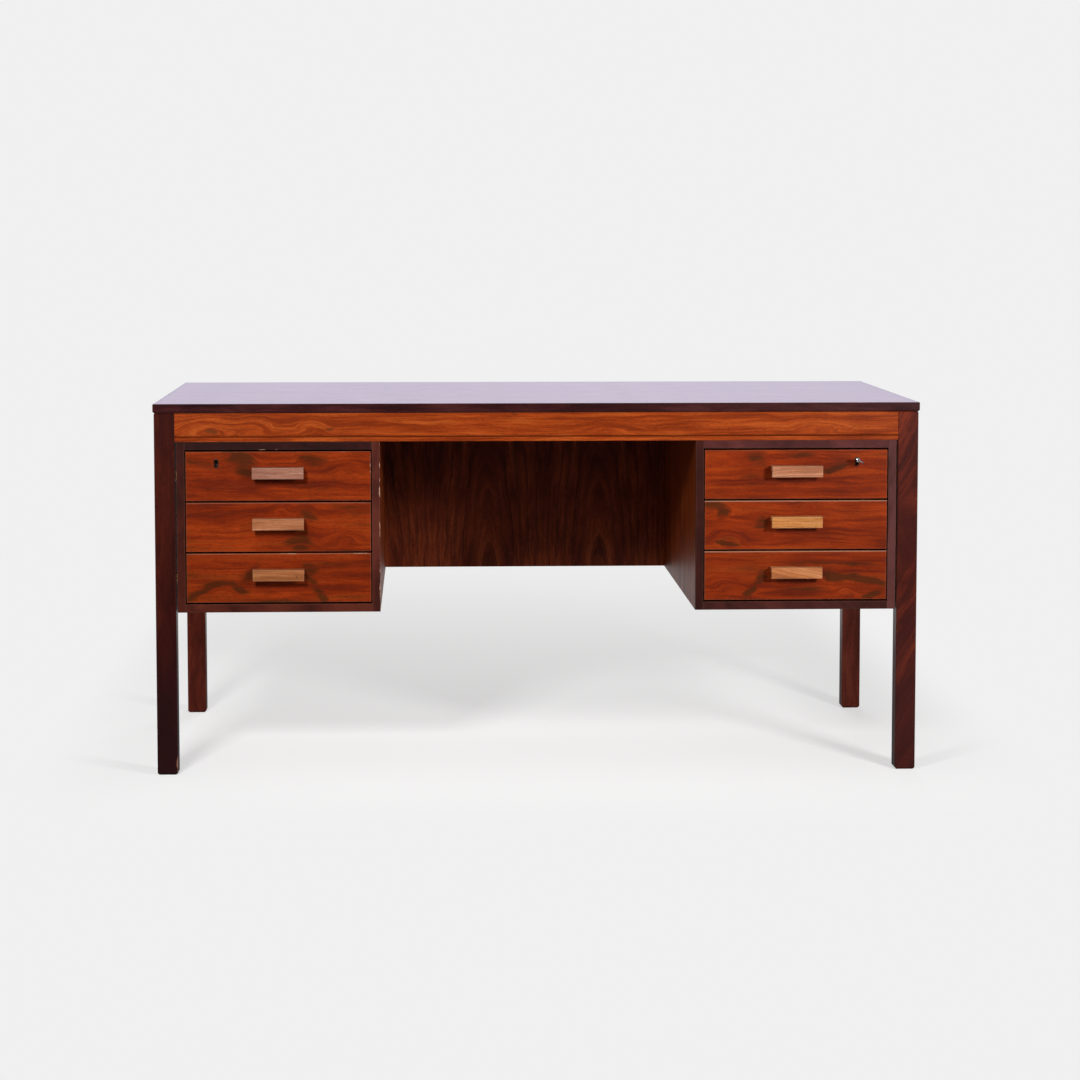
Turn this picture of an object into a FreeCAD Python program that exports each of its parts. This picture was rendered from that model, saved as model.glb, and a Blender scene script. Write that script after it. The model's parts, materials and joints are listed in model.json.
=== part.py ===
import FreeCAD, Part
import math
import os

# A kneehole desk: a lipped, veneered top on four square legs joined by rails, with two hung
# pedestals of three drawers each and one back panel behind the pedestals and the kneehole.
# Millimetres, +Z up, the drawer side faces -Y, and the origin is on the floor below the middle
# of everything, so half of the key's reach in front of the top moves the desk back by that much.

# Desktop
desk_width = 1500.0
desk_depth = 750.0
desk_height = 730.0
top_thickness = 18.0
top_overhang = 2.0
lipping_width = 8.0
lipping_top_arris = 1.0
lipping_under_chamfer = 3.0

# Legs
leg_size = 40.0
leg_arris = 1.5
foot_chamfer = 4.0
shoulder_chamfer = 2.0

# Rails under the top, with the strip glued below the front one
rail_height = 46.0
rail_thickness = 22.0
rail_setback = 1.0
rail_chamfer = 2.0
strip_height = 10.0
tenon_thickness = 10.0
tenon_shoulder = 8.0
tenon_gap = 2.0

# Pedestals and the back panel
pedestal_width = 396.0
pedestal_height = 335.0
pedestal_setback = 2.0
leg_gap = 2.5
board = 16.0
board_arris = 0.8
back_panel_thickness = 16.0
back_panel_recess = 11.0
leg_groove_depth = 8.0
housing_depth = 6.0

# Screws that hold the pedestals, the spacers between pedestals and front legs, and the glue
# blocks in the corners between the long rails and the top
screw_length = 36.0
screw_radius = 2.2
screw_head_radius = 4.2
screw_head_height = 2.6
screw_sides = 12
spacer_size = 18.0
glue_block_length = 70.0
glue_block_size = 20.0
leg_screw_shares = (0.2, 0.8)
rail_screw_shares = (0.38, 0.86)
glue_block_shares = (-0.6, 0.0, 0.6)

# Drawers: fronts, dovetailed sides, backs and bottoms
drawer_levels = ("upper", "middle", "lower")
drawer_gap = 3.5
drawer_side_gap = 2.0
drawer_rear_gap = 130.0
front_thickness = 18.0
front_arris = 0.8
side_thickness = 12.0
side_rise = 6.0
side_drop = 10.0
tail_count = 3
tail_length = 12.0
tail_root_share = 0.42
tail_tip_share = 0.68
back_thickness = 12.0
back_drop = 8.0
back_inset = 10.0
back_housing = 4.0
bottom_thickness = 5.0
bottom_rise = 6.0
bottom_groove = 5.0

# Wooden runners, on the pedestal sides, in the stopped grooves of the drawer sides
runner_height = 10.0
runner_groove_depth = 6.5
runner_groove_stop = 20.0
runner_lift = 0.3
runner_play = 0.7
runner_rear_gap = 12.0

# Handles: a lip and a web cut from one block, with a cove between them and a stub tenon behind
handle_width = 100.0
handle_height = 22.0
handle_depth = 24.0
handle_lip = 9.0
handle_web = 9.0
handle_cove = 3.0
handle_arris = 1.0
handle_raise = 7.0
stub_depth = 10.0
stub_shoulder = 1.5
stub_inset = 18.0
glue_gap = 0.05

# Locks in the upper drawers, and the key in the right one
lock_inset = 59.5
key_drop = 19.5
lock_width = 50.0
lock_height = 36.0
lock_depth = 10.0
lock_wall = 2.0
bolt_width = 30.0
bolt_thickness = 4.0
bolt_clearance = 0.3
bolt_recess = 0.5
bolt_throw = 8.0
fork_width = 20.0
fork_headroom = 3.0
strike_clearance = 1.0
keyhole_radius = 2.8
keyhole_slot_width = 3.4
keyhole_foot_width = 4.4
keyhole_tail = 10.0
key_shank_radius = 2.25
key_bit_reach = 9.0
key_bit_thickness = 3.0
key_projection = 30.0
key_bow_width = 22.0
key_bow_length = 17.0
key_bow_rim = 3.2
key_bow_thickness = 2.8
key_bow_chamfer = 0.8
key_collar_radius = 3.6
key_collar_length = 3.0
key_turn_degrees = 60.0

overrun = 1.0
plane_tolerance = 0.001

# Planes that the pieces share; X planes are distances from the middle, used on both sides
key_reach = key_projection - top_overhang - pedestal_setback
top_front = (key_reach - desk_depth) / 2
top_back = top_front + desk_depth
leg_front = top_front + top_overhang
leg_back = top_back - top_overhang
rail_front = leg_front + rail_setback
rail_back = leg_back - rail_setback
pedestal_front = leg_front + pedestal_setback
panel_back = leg_back - back_panel_recess
panel_front = panel_back - back_panel_thickness
drawer_back_plane = pedestal_front + front_thickness
drawer_rear = panel_front - drawer_rear_gap
runner_front = drawer_back_plane + runner_groove_stop + runner_play
runner_rear = panel_front - runner_rear_gap

top_under = desk_height - top_thickness
rail_bottom = top_under - rail_height
strip_bottom = rail_bottom - strip_height
pedestal_bottom = strip_bottom - pedestal_height
bay_top = strip_bottom - board
bay_bottom = pedestal_bottom + board
front_height = (bay_top - bay_bottom - drawer_gap) / len(drawer_levels) - drawer_gap

leg_outer = desk_width / 2 - top_overhang
leg_inner = leg_outer - leg_size
pedestal_outer = leg_inner - leg_gap
pedestal_inner = pedestal_outer - pedestal_width
bay_outer = pedestal_outer - board
bay_inner = pedestal_inner + board
drawer_outer = bay_outer - drawer_side_gap
drawer_inner = bay_inner + drawer_side_gap
drawer_middle = (drawer_outer + drawer_inner) / 2
lock_middle = drawer_outer - lock_inset

sides = {"left": -1, "right": 1}
X_AXIS = FreeCAD.Vector(1, 0, 0)
Y_AXIS = FreeCAD.Vector(0, 1, 0)
Z_AXIS = FreeCAD.Vector(0, 0, 1)


def box(x_span, y_span, z_span):
    """Block between two planes on each axis, given in either order."""
    low = [min(span) for span in (x_span, y_span, z_span)]
    size = [abs(span[1] - span[0]) for span in (x_span, y_span, z_span)]
    return Part.makeBox(*size, FreeCAD.Vector(*low))


def on_side(side, near, far):
    """X span between two distances from the middle, on the left or the right."""
    return (sides[side] * near, sides[side] * far)


def prism(points, travel):
    """Closed outline of corner points, carried along a vector."""
    corners = [FreeCAD.Vector(*point) for point in points]
    return Part.Face(Part.makePolygon(corners + corners[:1])).extrude(travel)


def edges_in(shape, **planes):
    """Edges of a shape that lie wholly in every plane given, such as Z=0."""
    def lies_in(edge, axis, place):
        low = getattr(edge.BoundBox, axis + "Min")
        high = getattr(edge.BoundBox, axis + "Max")
        return max(abs(low - place), abs(high - place)) < plane_tolerance
    return [edge for edge in shape.Edges if all(lies_in(edge, *plane) for plane in planes.items())]


def chamfered(shape, size, **planes):
    """Shape with its edges in every plane given chamfered."""
    return shape.makeChamfer(size, edges_in(shape, **planes))


def make_screw(head, direction):
    """Countersunk wood screw with a many-sided shank, from the middle of its head's flat along a direction."""
    turns = [2 * math.pi * i / screw_sides for i in range(screw_sides)]
    corners = [(screw_radius * math.cos(turn), screw_radius * math.sin(turn), 0) for turn in turns]
    cone = Part.makeCone(screw_head_radius, screw_radius, screw_head_height)
    screw = cone.fuse(prism(corners, Z_AXIS * screw_length)).removeSplitter()
    screw.Placement = FreeCAD.Placement(head, FreeCAD.Rotation(Z_AXIS, direction))
    return screw


def make_screws():
    """Screws that hold the pedestals to the front legs and to the front rail."""
    to_legs, to_rail = [], []
    leg_middle = leg_front + leg_size / 2
    for side, sign in sides.items():
        for share in leg_screw_shares:
            place = FreeCAD.Vector(sign * bay_outer, leg_middle, pedestal_bottom + share * pedestal_height)
            to_legs.append(make_screw(place, X_AXIS * sign))
        for share in rail_screw_shares:
            across = bay_outer + share * (bay_inner - bay_outer)
            place = FreeCAD.Vector(sign * across, rail_front + rail_thickness / 2, bay_top)
            to_rail.append(make_screw(place, Z_AXIS))
    return to_legs, to_rail


def make_desktop():
    """Veneered panel, and four mitred strips of solid lipping round it."""
    half = desk_width / 2
    z_span = (top_under, desk_height)
    core_y = (top_front + lipping_width, top_back - lipping_width)
    core = box((lipping_width - half, half - lipping_width), core_y, z_span)
    slab = box((-half, half), (top_front, top_back), z_span)
    slab = chamfered(slab, lipping_under_chamfer, Z=top_under)
    slab = chamfered(slab, lipping_top_arris, Z=desk_height)
    frame = slab.cut(core)
    outer = [(-half, top_front), (half, top_front), (half, top_back), (-half, top_back)]
    inner_x = half - lipping_width
    inner = [(-inner_x, core_y[0]), (inner_x, core_y[0]), (inner_x, core_y[1]), (-inner_x, core_y[1])]
    strips = []
    for i in range(len(outer)):
        j = (i + 1) % len(outer)
        mitred = [(x, y, top_under) for x, y in (outer[i], outer[j], inner[j], inner[i])]
        strips.append(frame.common(prism(mitred, Z_AXIS * top_thickness)).Solids[0])
    return core, Part.makeCompound(strips)


def make_leg(x_sign, y_sign, joined):
    """Square leg with eased arrises, a chamfered foot, and the mortises of what enters it."""
    x_span = (x_sign * leg_outer, x_sign * leg_inner)
    y_outer = leg_front if y_sign < 0 else leg_back
    y_span = (y_outer, y_outer - y_sign * leg_size)
    block = box(x_span, y_span, (0, top_under))
    upright = [edge for edge in block.Edges if edge.BoundBox.ZLength > leg_size]
    leg = block.makeChamfer(leg_arris, upright)
    leg = leg.common(chamfered(block, foot_chamfer, Z=0))
    shoulders = edges_in(block, Z=top_under, X=x_sign * leg_outer) + edges_in(block, Z=top_under, Y=y_outer)
    leg = leg.common(block.makeChamfer(shoulder_chamfer, shoulders))
    return leg.cut(joined).removeSplitter()


def tenon_length():
    """Longest tenon that stays clear of the other rail's tenon in the same leg."""
    return leg_size - rail_setback - (rail_thickness + tenon_thickness) / 2 - tenon_gap


def make_long_rail(y_span, bottom):
    """Rail from leg to leg along X, with a tenon at each end."""
    middle = (y_span[0] + y_span[1]) / 2
    tenon_y = (middle - tenon_thickness / 2, middle + tenon_thickness / 2)
    reach = leg_inner + tenon_length()
    rail = box((-leg_inner, leg_inner), y_span, (bottom, top_under))
    tenon = box((-reach, reach), tenon_y, (bottom + tenon_shoulder, top_under - tenon_shoulder))
    return rail, tenon


def make_front_rail():
    """Front rail, chamfered above and below to make shadow grooves, and the strip under it."""
    y_span = (rail_front, rail_front + rail_thickness)
    rail, tenon = make_long_rail(y_span, rail_bottom)
    front_edges = edges_in(rail, Y=rail_front, Z=top_under) + edges_in(rail, Y=rail_front, Z=rail_bottom)
    rail = rail.makeChamfer(rail_chamfer, front_edges).fuse(tenon).removeSplitter()
    strip = box((-leg_inner, leg_inner), y_span, (strip_bottom, rail_bottom))
    return rail, chamfered(strip, rail_chamfer, Y=rail_front, Z=rail_bottom)


def make_back_rail():
    """Plain rail between the rear legs, as deep as the front rail and its strip."""
    rail, tenon = make_long_rail((rail_back - rail_thickness, rail_back), strip_bottom)
    return rail.fuse(tenon).removeSplitter()


def make_side_rail(side):
    """Plain rail from a front leg to the rear leg behind it."""
    outer = leg_outer - rail_setback
    middle = outer - rail_thickness / 2
    y_front = leg_front + leg_size
    y_rear = leg_back - leg_size
    rail = box(on_side(side, outer - rail_thickness, outer), (y_front, y_rear), (strip_bottom, top_under))
    tenon = box(on_side(side, middle - tenon_thickness / 2, middle + tenon_thickness / 2),
                (y_front - tenon_length(), y_rear + tenon_length()),
                (strip_bottom + tenon_shoulder, top_under - tenon_shoulder))
    return rail.fuse(tenon).removeSplitter()


def make_pedestal(side, strike):
    """Outer side, inner side, top and bottom of one pedestal; its sides run into the back panel."""
    z_span = (pedestal_bottom, strip_bottom)
    side_y = (pedestal_front, panel_front + housing_depth)
    shelf_y = (pedestal_front, panel_front)
    boards = {
        "outer_side": box(on_side(side, bay_outer, pedestal_outer), side_y, z_span),
        "inner_side": box(on_side(side, pedestal_inner, bay_inner), side_y, z_span),
        "top": box(on_side(side, bay_inner, bay_outer), shelf_y, (bay_top, strip_bottom)),
        "bottom": box(on_side(side, bay_inner, bay_outer), shelf_y, (pedestal_bottom, bay_bottom)),
    }
    boards = {name: chamfered(shape, board_arris, Y=pedestal_front) for name, shape in boards.items()}
    boards["top"] = boards["top"].cut(strike)
    return boards


def make_back_panel(pedestal_sides):
    """Back panel between the rear legs, grooved into them and housing the pedestal sides."""
    reach = leg_inner + leg_groove_depth
    panel = box((-reach, reach), (panel_front, panel_back), (pedestal_bottom, strip_bottom))
    return panel.cut(pedestal_sides)


def make_spacers(screws):
    """Square wooden washers on the screws between the pedestals and the front legs."""
    spacers = []
    half = spacer_size / 2
    for screw in screws:
        centre = screw.BoundBox.Center
        sign = math.copysign(1, centre.x)
        washer = box((sign * pedestal_outer, sign * leg_inner), (centre.y - half, centre.y + half),
                     (centre.z - half, centre.z + half))
        spacers.append(washer.cut(screw))
    return Part.makeCompound(spacers)


def make_glue_blocks():
    """Blocks glued into the corners between the long rails and the underside of the top."""
    blocks = []
    for inner_face, inward in ((rail_front + rail_thickness, 1), (rail_back - rail_thickness, -1)):
        for share in glue_block_shares:
            middle = share * leg_inner
            blocks.append(box((middle - glue_block_length / 2, middle + glue_block_length / 2),
                              (inner_face, inner_face + inward * glue_block_size),
                              (top_under - glue_block_size, top_under)))
    return Part.makeCompound(blocks)


def drawer_levels_z(level):
    """Bottom and top of a drawer front, and of the sides behind it, counted from the top."""
    top = bay_top - drawer_gap - drawer_levels.index(level) * (front_height + drawer_gap)
    bottom = top - front_height
    return bottom, top, bottom + side_rise, top - side_drop


def runner_z(level):
    """Bottom and top of the runners of a drawer, at half the height of its sides."""
    bottom, top, side_bottom, side_top = drawer_levels_z(level)
    middle = (side_bottom + side_top) / 2
    return middle - runner_height / 2, middle + runner_height / 2


def make_runners(side):
    """Two wooden strips for each drawer, on the inner faces of a pedestal's sides."""
    reach = drawer_side_gap + runner_groove_depth - runner_play
    strips = []
    for level in drawer_levels:
        for wall, inward in ((bay_outer, -reach), (bay_inner, reach)):
            span = on_side(side, wall, wall + inward)
            strips.append(box(span, (runner_front, runner_rear), runner_z(level)))
    return Part.makeCompound(strips)


def make_drawer_side(side, level, outer_face, inward):
    """Drawer side with dovetails on its front end and a stopped groove for its runner."""
    bottom, top, side_bottom, side_top = drawer_levels_z(level)
    span = on_side(side, outer_face, outer_face + inward * side_thickness)
    shape = box(span, (drawer_back_plane, drawer_rear), (side_bottom, side_top))
    pitch = (side_top - side_bottom) / tail_count
    tip_y = drawer_back_plane - tail_length
    for i in range(tail_count):
        middle = side_bottom + (i + 1 / 2) * pitch
        root = tail_root_share * pitch / 2
        tip = tail_tip_share * pitch / 2
        outline = [(drawer_back_plane, middle - root), (tip_y, middle - tip),
                   (tip_y, middle + tip), (drawer_back_plane, middle + root)]
        shape = shape.fuse(prism([(span[0], y, z) for y, z in outline], X_AXIS * (span[1] - span[0])))
    runner_bottom, runner_top = runner_z(level)
    groove = box(on_side(side, outer_face, outer_face + inward * runner_groove_depth),
                 (drawer_back_plane + runner_groove_stop, drawer_rear + overrun),
                 (runner_bottom - runner_play, runner_top + runner_lift))
    return shape.removeSplitter().cut(groove)


def make_drawer_bottom(side, level):
    """Plywood bottom, in grooves of both sides, with a tongue into the front."""
    side_bottom = drawer_levels_z(level)[2]
    z_span = (side_bottom + bottom_rise, side_bottom + bottom_rise + bottom_thickness)
    inside = (drawer_inner + side_thickness, drawer_outer - side_thickness)
    panel = box(on_side(side, inside[0] - bottom_groove, inside[1] + bottom_groove),
                (drawer_back_plane, drawer_rear - back_inset), z_span)
    tongue = box(on_side(side, *inside), (drawer_back_plane - bottom_groove, drawer_back_plane), z_span)
    return panel.fuse(tongue).removeSplitter()


def make_drawer_back(side, level):
    """Drawer back on the bottom, housed between the sides."""
    side_bottom, side_top = drawer_levels_z(level)[2:]
    reach = side_thickness - back_housing
    rear = drawer_rear - back_inset
    return box(on_side(side, drawer_inner + reach, drawer_outer - reach), (rear - back_thickness, rear),
               (side_bottom + bottom_rise + bottom_thickness, side_top - back_drop))


def handle_places(level):
    """Front plane, bottom and top of a drawer's handle."""
    bottom, top = drawer_levels_z(level)[:2]
    middle = (bottom + top) / 2 + handle_raise
    return pedestal_front - handle_depth, middle - handle_height / 2, middle + handle_height / 2


def handle_stub(side, level, gap):
    """Stub tenon behind a handle's web, or with a gap round it, the mortise for it."""
    front, bottom, top = handle_places(level)
    middle = sides[side] * drawer_middle
    half = handle_width / 2 - stub_inset + gap
    return box((middle - half, middle + half), (front + handle_lip, pedestal_front + stub_depth + gap),
               (top - handle_web + stub_shoulder - gap, top - stub_shoulder + gap))


def make_handle(side, level):
    """Handle with a finger space under its web and behind its lip, and a stub tenon."""
    front, bottom, top = handle_places(level)
    start = sides[side] * drawer_middle - handle_width / 2
    lip_back = front + handle_lip
    web_under = top - handle_web

    def at(y, z):
        return FreeCAD.Vector(start, y, z)

    bend = handle_cove * (1 - math.sqrt(1 / 2))
    cove = Part.Arc(at(lip_back, web_under - handle_cove), at(lip_back + bend, web_under - bend),
                    at(lip_back + handle_cove, web_under)).toShape()
    below = Part.makePolygon([at(lip_back + handle_cove, web_under), at(pedestal_front, web_under),
                              at(pedestal_front, top), at(front, top), at(front, bottom),
                              at(lip_back, bottom), at(lip_back, web_under - handle_cove)])
    outline = Part.Wire([cove] + below.Edges)
    handle = Part.Face(outline).extrude(X_AXIS * handle_width)
    handle = chamfered(handle, handle_arris, Y=front)
    return handle.fuse(handle_stub(side, level, 0)).removeSplitter()


def key_axis(side):
    """X and Z of a lock's key axis, in the upper drawer front."""
    return sides[side] * lock_middle, drawer_levels_z("upper")[1] - key_drop


def keyhole(side):
    """Keyhole through a drawer front and the front wall of its lock: a round and a flared slot."""
    x, z = key_axis(side)
    start = pedestal_front - overrun
    length = drawer_back_plane - lock_depth / 2 - start
    round_hole = Part.makeCylinder(keyhole_radius, length, FreeCAD.Vector(x, start, z), Y_AXIS)
    slot = [(x - keyhole_slot_width / 2, start, z), (x + keyhole_slot_width / 2, start, z),
            (x + keyhole_foot_width / 2, start, z - keyhole_tail),
            (x - keyhole_foot_width / 2, start, z - keyhole_tail)]
    return round_hole.fuse(prism(slot, Y_AXIS * length))


def lock_block(side):
    """Outside of a lock case, let into the back of the drawer front and flush with its top edge."""
    x = key_axis(side)[0]
    top = drawer_levels_z("upper")[1]
    return box((x - lock_width / 2, x + lock_width / 2), (drawer_back_plane - lock_depth, drawer_back_plane),
               (top - lock_height, top))


def make_lock_case(side):
    """Lock case with a channel for the bolt, open at its top, and a keyhole in its front wall."""
    x = key_axis(side)[0]
    top = drawer_levels_z("upper")[1]
    middle = drawer_back_plane - lock_depth / 2
    half_width = bolt_width / 2 + bolt_clearance
    half_depth = bolt_thickness / 2 + bolt_clearance
    channel = box((x - half_width, x + half_width), (middle - half_depth, middle + half_depth),
                  (top - lock_height + lock_wall, top + overrun))
    return lock_block(side).cut([channel, keyhole(side)])


def make_lock_bolt(side):
    """Forked bolt, astride the key, that slides up into the pedestal's top."""
    x, z = key_axis(side)
    top = drawer_levels_z("upper")[1]
    middle = drawer_back_plane - lock_depth / 2
    y_span = (middle - bolt_thickness / 2, middle + bolt_thickness / 2)
    foot = top - lock_height + lock_wall + bolt_clearance
    plate = box((x - bolt_width / 2, x + bolt_width / 2), y_span, (foot, top - bolt_recess))
    fork = box((x - fork_width / 2, x + fork_width / 2), y_span, (foot - overrun, z + fork_headroom))
    return plate.cut(fork)


def strike_slot(side):
    """Slot in the underside of a pedestal's top that the raised bolt enters."""
    x = key_axis(side)[0]
    middle = drawer_back_plane - lock_depth / 2
    half_width = bolt_width / 2 + strike_clearance
    half_depth = bolt_thickness / 2 + strike_clearance
    reach = bolt_throw - bolt_recess - drawer_gap + strike_clearance
    return box((x - half_width, x + half_width), (middle - half_depth, middle + half_depth),
               (bay_top - overrun, bay_top + reach))


def make_key(side):
    """Key with an oval bow, a collar, a shank and a bit, turned part of the way in its lock."""
    x, z = key_axis(side)
    tip = drawer_back_plane - lock_depth / 2 + bolt_thickness / 2
    bow_front = pedestal_front - key_projection

    def oval_plate(inset):
        along = Y_AXIS * (key_bow_length / 2 - inset)
        across = Z_AXIS * (key_bow_width / 2 - inset)
        minor, major = sorted((along, across), key=lambda radius: radius.Length)
        outline = Part.Ellipse(major, minor, FreeCAD.Vector(0, 0, 0)).toShape()
        return Part.Face(Part.Wire([outline])).extrude(X_AXIS * key_bow_thickness)

    bow = oval_plate(0).cut(oval_plate(key_bow_rim))
    bow = bow.makeChamfer(key_bow_chamfer, edges_in(bow, X=0) + edges_in(bow, X=key_bow_thickness))
    bow.translate(FreeCAD.Vector(x - key_bow_thickness / 2, bow_front + key_bow_length / 2, z))
    shank_start = bow_front + key_bow_length - key_bow_rim / 2
    shank = Part.makeCylinder(key_shank_radius, tip - shank_start, FreeCAD.Vector(x, shank_start, z), Y_AXIS)
    collar_start = FreeCAD.Vector(x, bow_front + key_bow_length - key_bow_rim / 2, z)
    collar = Part.makeCylinder(key_collar_radius, key_collar_length, collar_start, Y_AXIS)
    bit = box((x - key_bit_thickness / 2, x + key_bit_thickness / 2), (tip - bolt_thickness, tip),
              (z - key_bit_reach, z))
    key = bow.fuse([shank, collar, bit]).removeSplitter()
    key.rotate(FreeCAD.Vector(x, 0, z), Y_AXIS, -key_turn_degrees)
    return key


def make_drawer(side, level):
    """Front, sides, back, bottom and handle of one drawer, cut to fit each other."""
    z_span = drawer_levels_z(level)[:2]
    front = box(on_side(side, drawer_inner, drawer_outer), (pedestal_front, drawer_back_plane), z_span)
    front = chamfered(front, front_arris, Y=pedestal_front)
    walls = [make_drawer_side(side, level, drawer_outer, -1), make_drawer_side(side, level, drawer_inner, 1)]
    bottom = make_drawer_bottom(side, level)
    back = make_drawer_back(side, level)
    front = front.cut(walls + [bottom, handle_stub(side, level, glue_gap)])
    if level == "upper":
        front = front.cut([lock_block(side), keyhole(side)])
    return {
        "front": front,
        "sides": Part.makeCompound([wall.cut([bottom, back]) for wall in walls]),
        "back": back,
        "bottom": bottom,
        "handle": make_handle(side, level),
    }


def make_desk():
    """Every node of the desk, by name."""
    to_legs, to_rail = make_screws()
    nodes = {}
    nodes["desktop_panel"], nodes["desktop_lipping"] = make_desktop()

    front_rail, front_strip = make_front_rail()
    back_rail = make_back_rail()
    side_rails = {side: make_side_rail(side) for side in sides}

    pedestals = {side: make_pedestal(side, strike_slot(side)) for side in sides}
    housed = [pedestals[side][name] for side in sides for name in ("outer_side", "inner_side")]
    back_panel = make_back_panel(housed)

    for x_name, x_sign in sides.items():
        for y_name, y_sign, long_rail in (("front", -1, [front_rail]), ("rear", 1, [back_rail, back_panel])):
            joined = long_rail + [side_rails[x_name]] + to_legs
            nodes[f"{y_name}_{x_name}_leg"] = make_leg(x_sign, y_sign, joined)

    nodes["front_rail"] = front_rail.cut(to_rail)
    nodes["front_rail_strip"] = front_strip.cut(to_rail)
    nodes["back_rail"] = back_rail
    nodes["back_panel"] = back_panel
    for side in sides:
        nodes[f"{side}_side_rail"] = side_rails[side]
        for name, shape in pedestals[side].items():
            nodes[f"{side}_pedestal_{name}"] = shape.cut(to_legs + to_rail)
        nodes[f"{side}_drawer_runners"] = make_runners(side)
        for level in drawer_levels:
            for name, shape in make_drawer(side, level).items():
                nodes[f"{side}_{level}_drawer_{name}"] = shape
        nodes[f"{side}_lock_case"] = make_lock_case(side)
        nodes[f"{side}_lock_bolt"] = make_lock_bolt(side)
    nodes["right_lock_key"] = make_key("right")
    nodes["pedestal_spacers"] = make_spacers(to_legs)
    nodes["glue_blocks"] = make_glue_blocks()
    nodes["wood_screws"] = Part.makeCompound(to_legs + to_rail)
    return nodes


os.makedirs("parts", exist_ok=True)
for node, shape in make_desk().items():
    shape.exportStep(f"parts/{node}.step")
    state = "valid" if shape.isValid() else "NOT VALID"
    print(f"{node}: {len(shape.Solids)} solid(s), {shape.Volume:.0f} cubic mm, {state}")
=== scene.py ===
# %% [markdown]
# # A rosewood kneehole desk
# The desk's pieces come from the CAD frame, at their real size and place. This lesson gives every piece
# its finish: lacquered rosewood with dark streaks, worn bare handles, pale drawer linings and small metal
# parts. Sizes of patterns are written in millimetres, and the frame itself is in metres.

# %% Load the frame
import json
import math

import bpy
import numpy as np
from mathutils import Euler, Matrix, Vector


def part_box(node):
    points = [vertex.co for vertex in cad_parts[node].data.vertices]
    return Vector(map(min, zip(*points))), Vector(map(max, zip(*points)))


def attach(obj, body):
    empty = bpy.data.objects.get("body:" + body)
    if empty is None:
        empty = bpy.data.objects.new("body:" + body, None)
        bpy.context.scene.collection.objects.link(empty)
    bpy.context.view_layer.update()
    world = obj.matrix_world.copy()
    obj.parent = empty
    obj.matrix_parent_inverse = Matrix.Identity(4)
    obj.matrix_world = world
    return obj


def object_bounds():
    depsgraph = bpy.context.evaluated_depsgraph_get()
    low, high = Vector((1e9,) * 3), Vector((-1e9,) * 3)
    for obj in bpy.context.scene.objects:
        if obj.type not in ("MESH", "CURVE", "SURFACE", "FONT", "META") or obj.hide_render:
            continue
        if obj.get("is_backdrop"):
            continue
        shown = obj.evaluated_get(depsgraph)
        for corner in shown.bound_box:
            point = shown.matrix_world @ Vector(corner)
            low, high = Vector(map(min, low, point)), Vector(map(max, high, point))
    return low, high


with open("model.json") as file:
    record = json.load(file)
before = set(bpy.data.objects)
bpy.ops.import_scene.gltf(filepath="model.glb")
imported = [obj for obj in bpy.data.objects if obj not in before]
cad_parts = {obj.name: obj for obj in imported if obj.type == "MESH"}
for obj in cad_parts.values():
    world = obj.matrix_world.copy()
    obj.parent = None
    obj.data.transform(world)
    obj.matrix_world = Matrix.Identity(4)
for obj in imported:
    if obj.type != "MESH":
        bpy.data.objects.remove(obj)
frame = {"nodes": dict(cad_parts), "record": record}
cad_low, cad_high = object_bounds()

MM_PER_M = 1000.0
scene = bpy.context.scene
scene.view_settings.view_transform = "Standard"
print("pieces in the frame:", len(frame["nodes"]), "box in metres:", tuple(cad_low), tuple(cad_high))

# %% [markdown]
# ## Helpers for every material
# Colours are written as sRGB hex values, as they would be picked from a swatch. Shaders work in linear
# light, so one function converts them. A second function adds a node, sets it up and links or fills its
# inputs, which keeps a long node tree readable as a list of steps.

# %% Colour and node helpers
SMOOTH = {"interpolation_type": "SMOOTHSTEP"}


def linear(hex_colour):
    """Linear RGBA of an sRGB hex value: below the toe a division, above it a power of 2.4."""
    channels = [int(hex_colour[i:i + 2], 16) / 255 for i in (1, 3, 5)]
    return tuple(c / 12.92 if c <= 0.04045 else ((c + 0.055) / 1.055) ** 2.4 for c in channels) + (1.0,)


def add(tree, kind, *values, **options):
    """Adds a shader node and returns its outputs.

    The values fill its inputs in order. An option with a capital letter fills the input of that name, with
    _ for a space, and any other option is a setting. A socket is linked, and any other value is set."""
    node = tree.nodes.new("ShaderNode" + kind)
    inputs = dict(enumerate(values))
    for name, value in options.items():
        if name[0].isupper():
            inputs[name.replace("_", " ")] = value
        else:
            setattr(node, name, value)
    for name, value in inputs.items():
        if isinstance(value, bpy.types.NodeSocket):
            tree.links.new(value, node.inputs[name])
        else:
            node.inputs[name].default_value = value
    return node.outputs


def new_material(name):
    """Empty node material, and its tree."""
    material = bpy.data.materials.new(name)
    material.use_nodes = True
    material.node_tree.nodes.clear()
    return material, material.node_tree


def dress(piece, material):
    """Gives a CAD node one material."""
    node = frame["nodes"][piece]
    node.data.materials.clear()
    node.data.materials.append(material)


print("mid grey #808080 is", round(linear("#808080")[0], 3), "in linear light")

# %% [markdown]
# ## The camera
# The photograph was taken from about five and a half metres, a little left of the middle and above the
# top, with a long lens. The viewpoint was fitted to the desk's edges in the photograph, so it is given
# here as plain sizes measured from the front edge of the top.

# %% Camera
camera_left = 0.2193
camera_before_front = 5.4216
camera_height = 1.0755
camera_turn_degrees = 2.352
camera_tilt_degrees = 4.811
camera_lens_mm = 92.82
camera_rise_share = -0.0741
sensor_mm = 36.0

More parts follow.
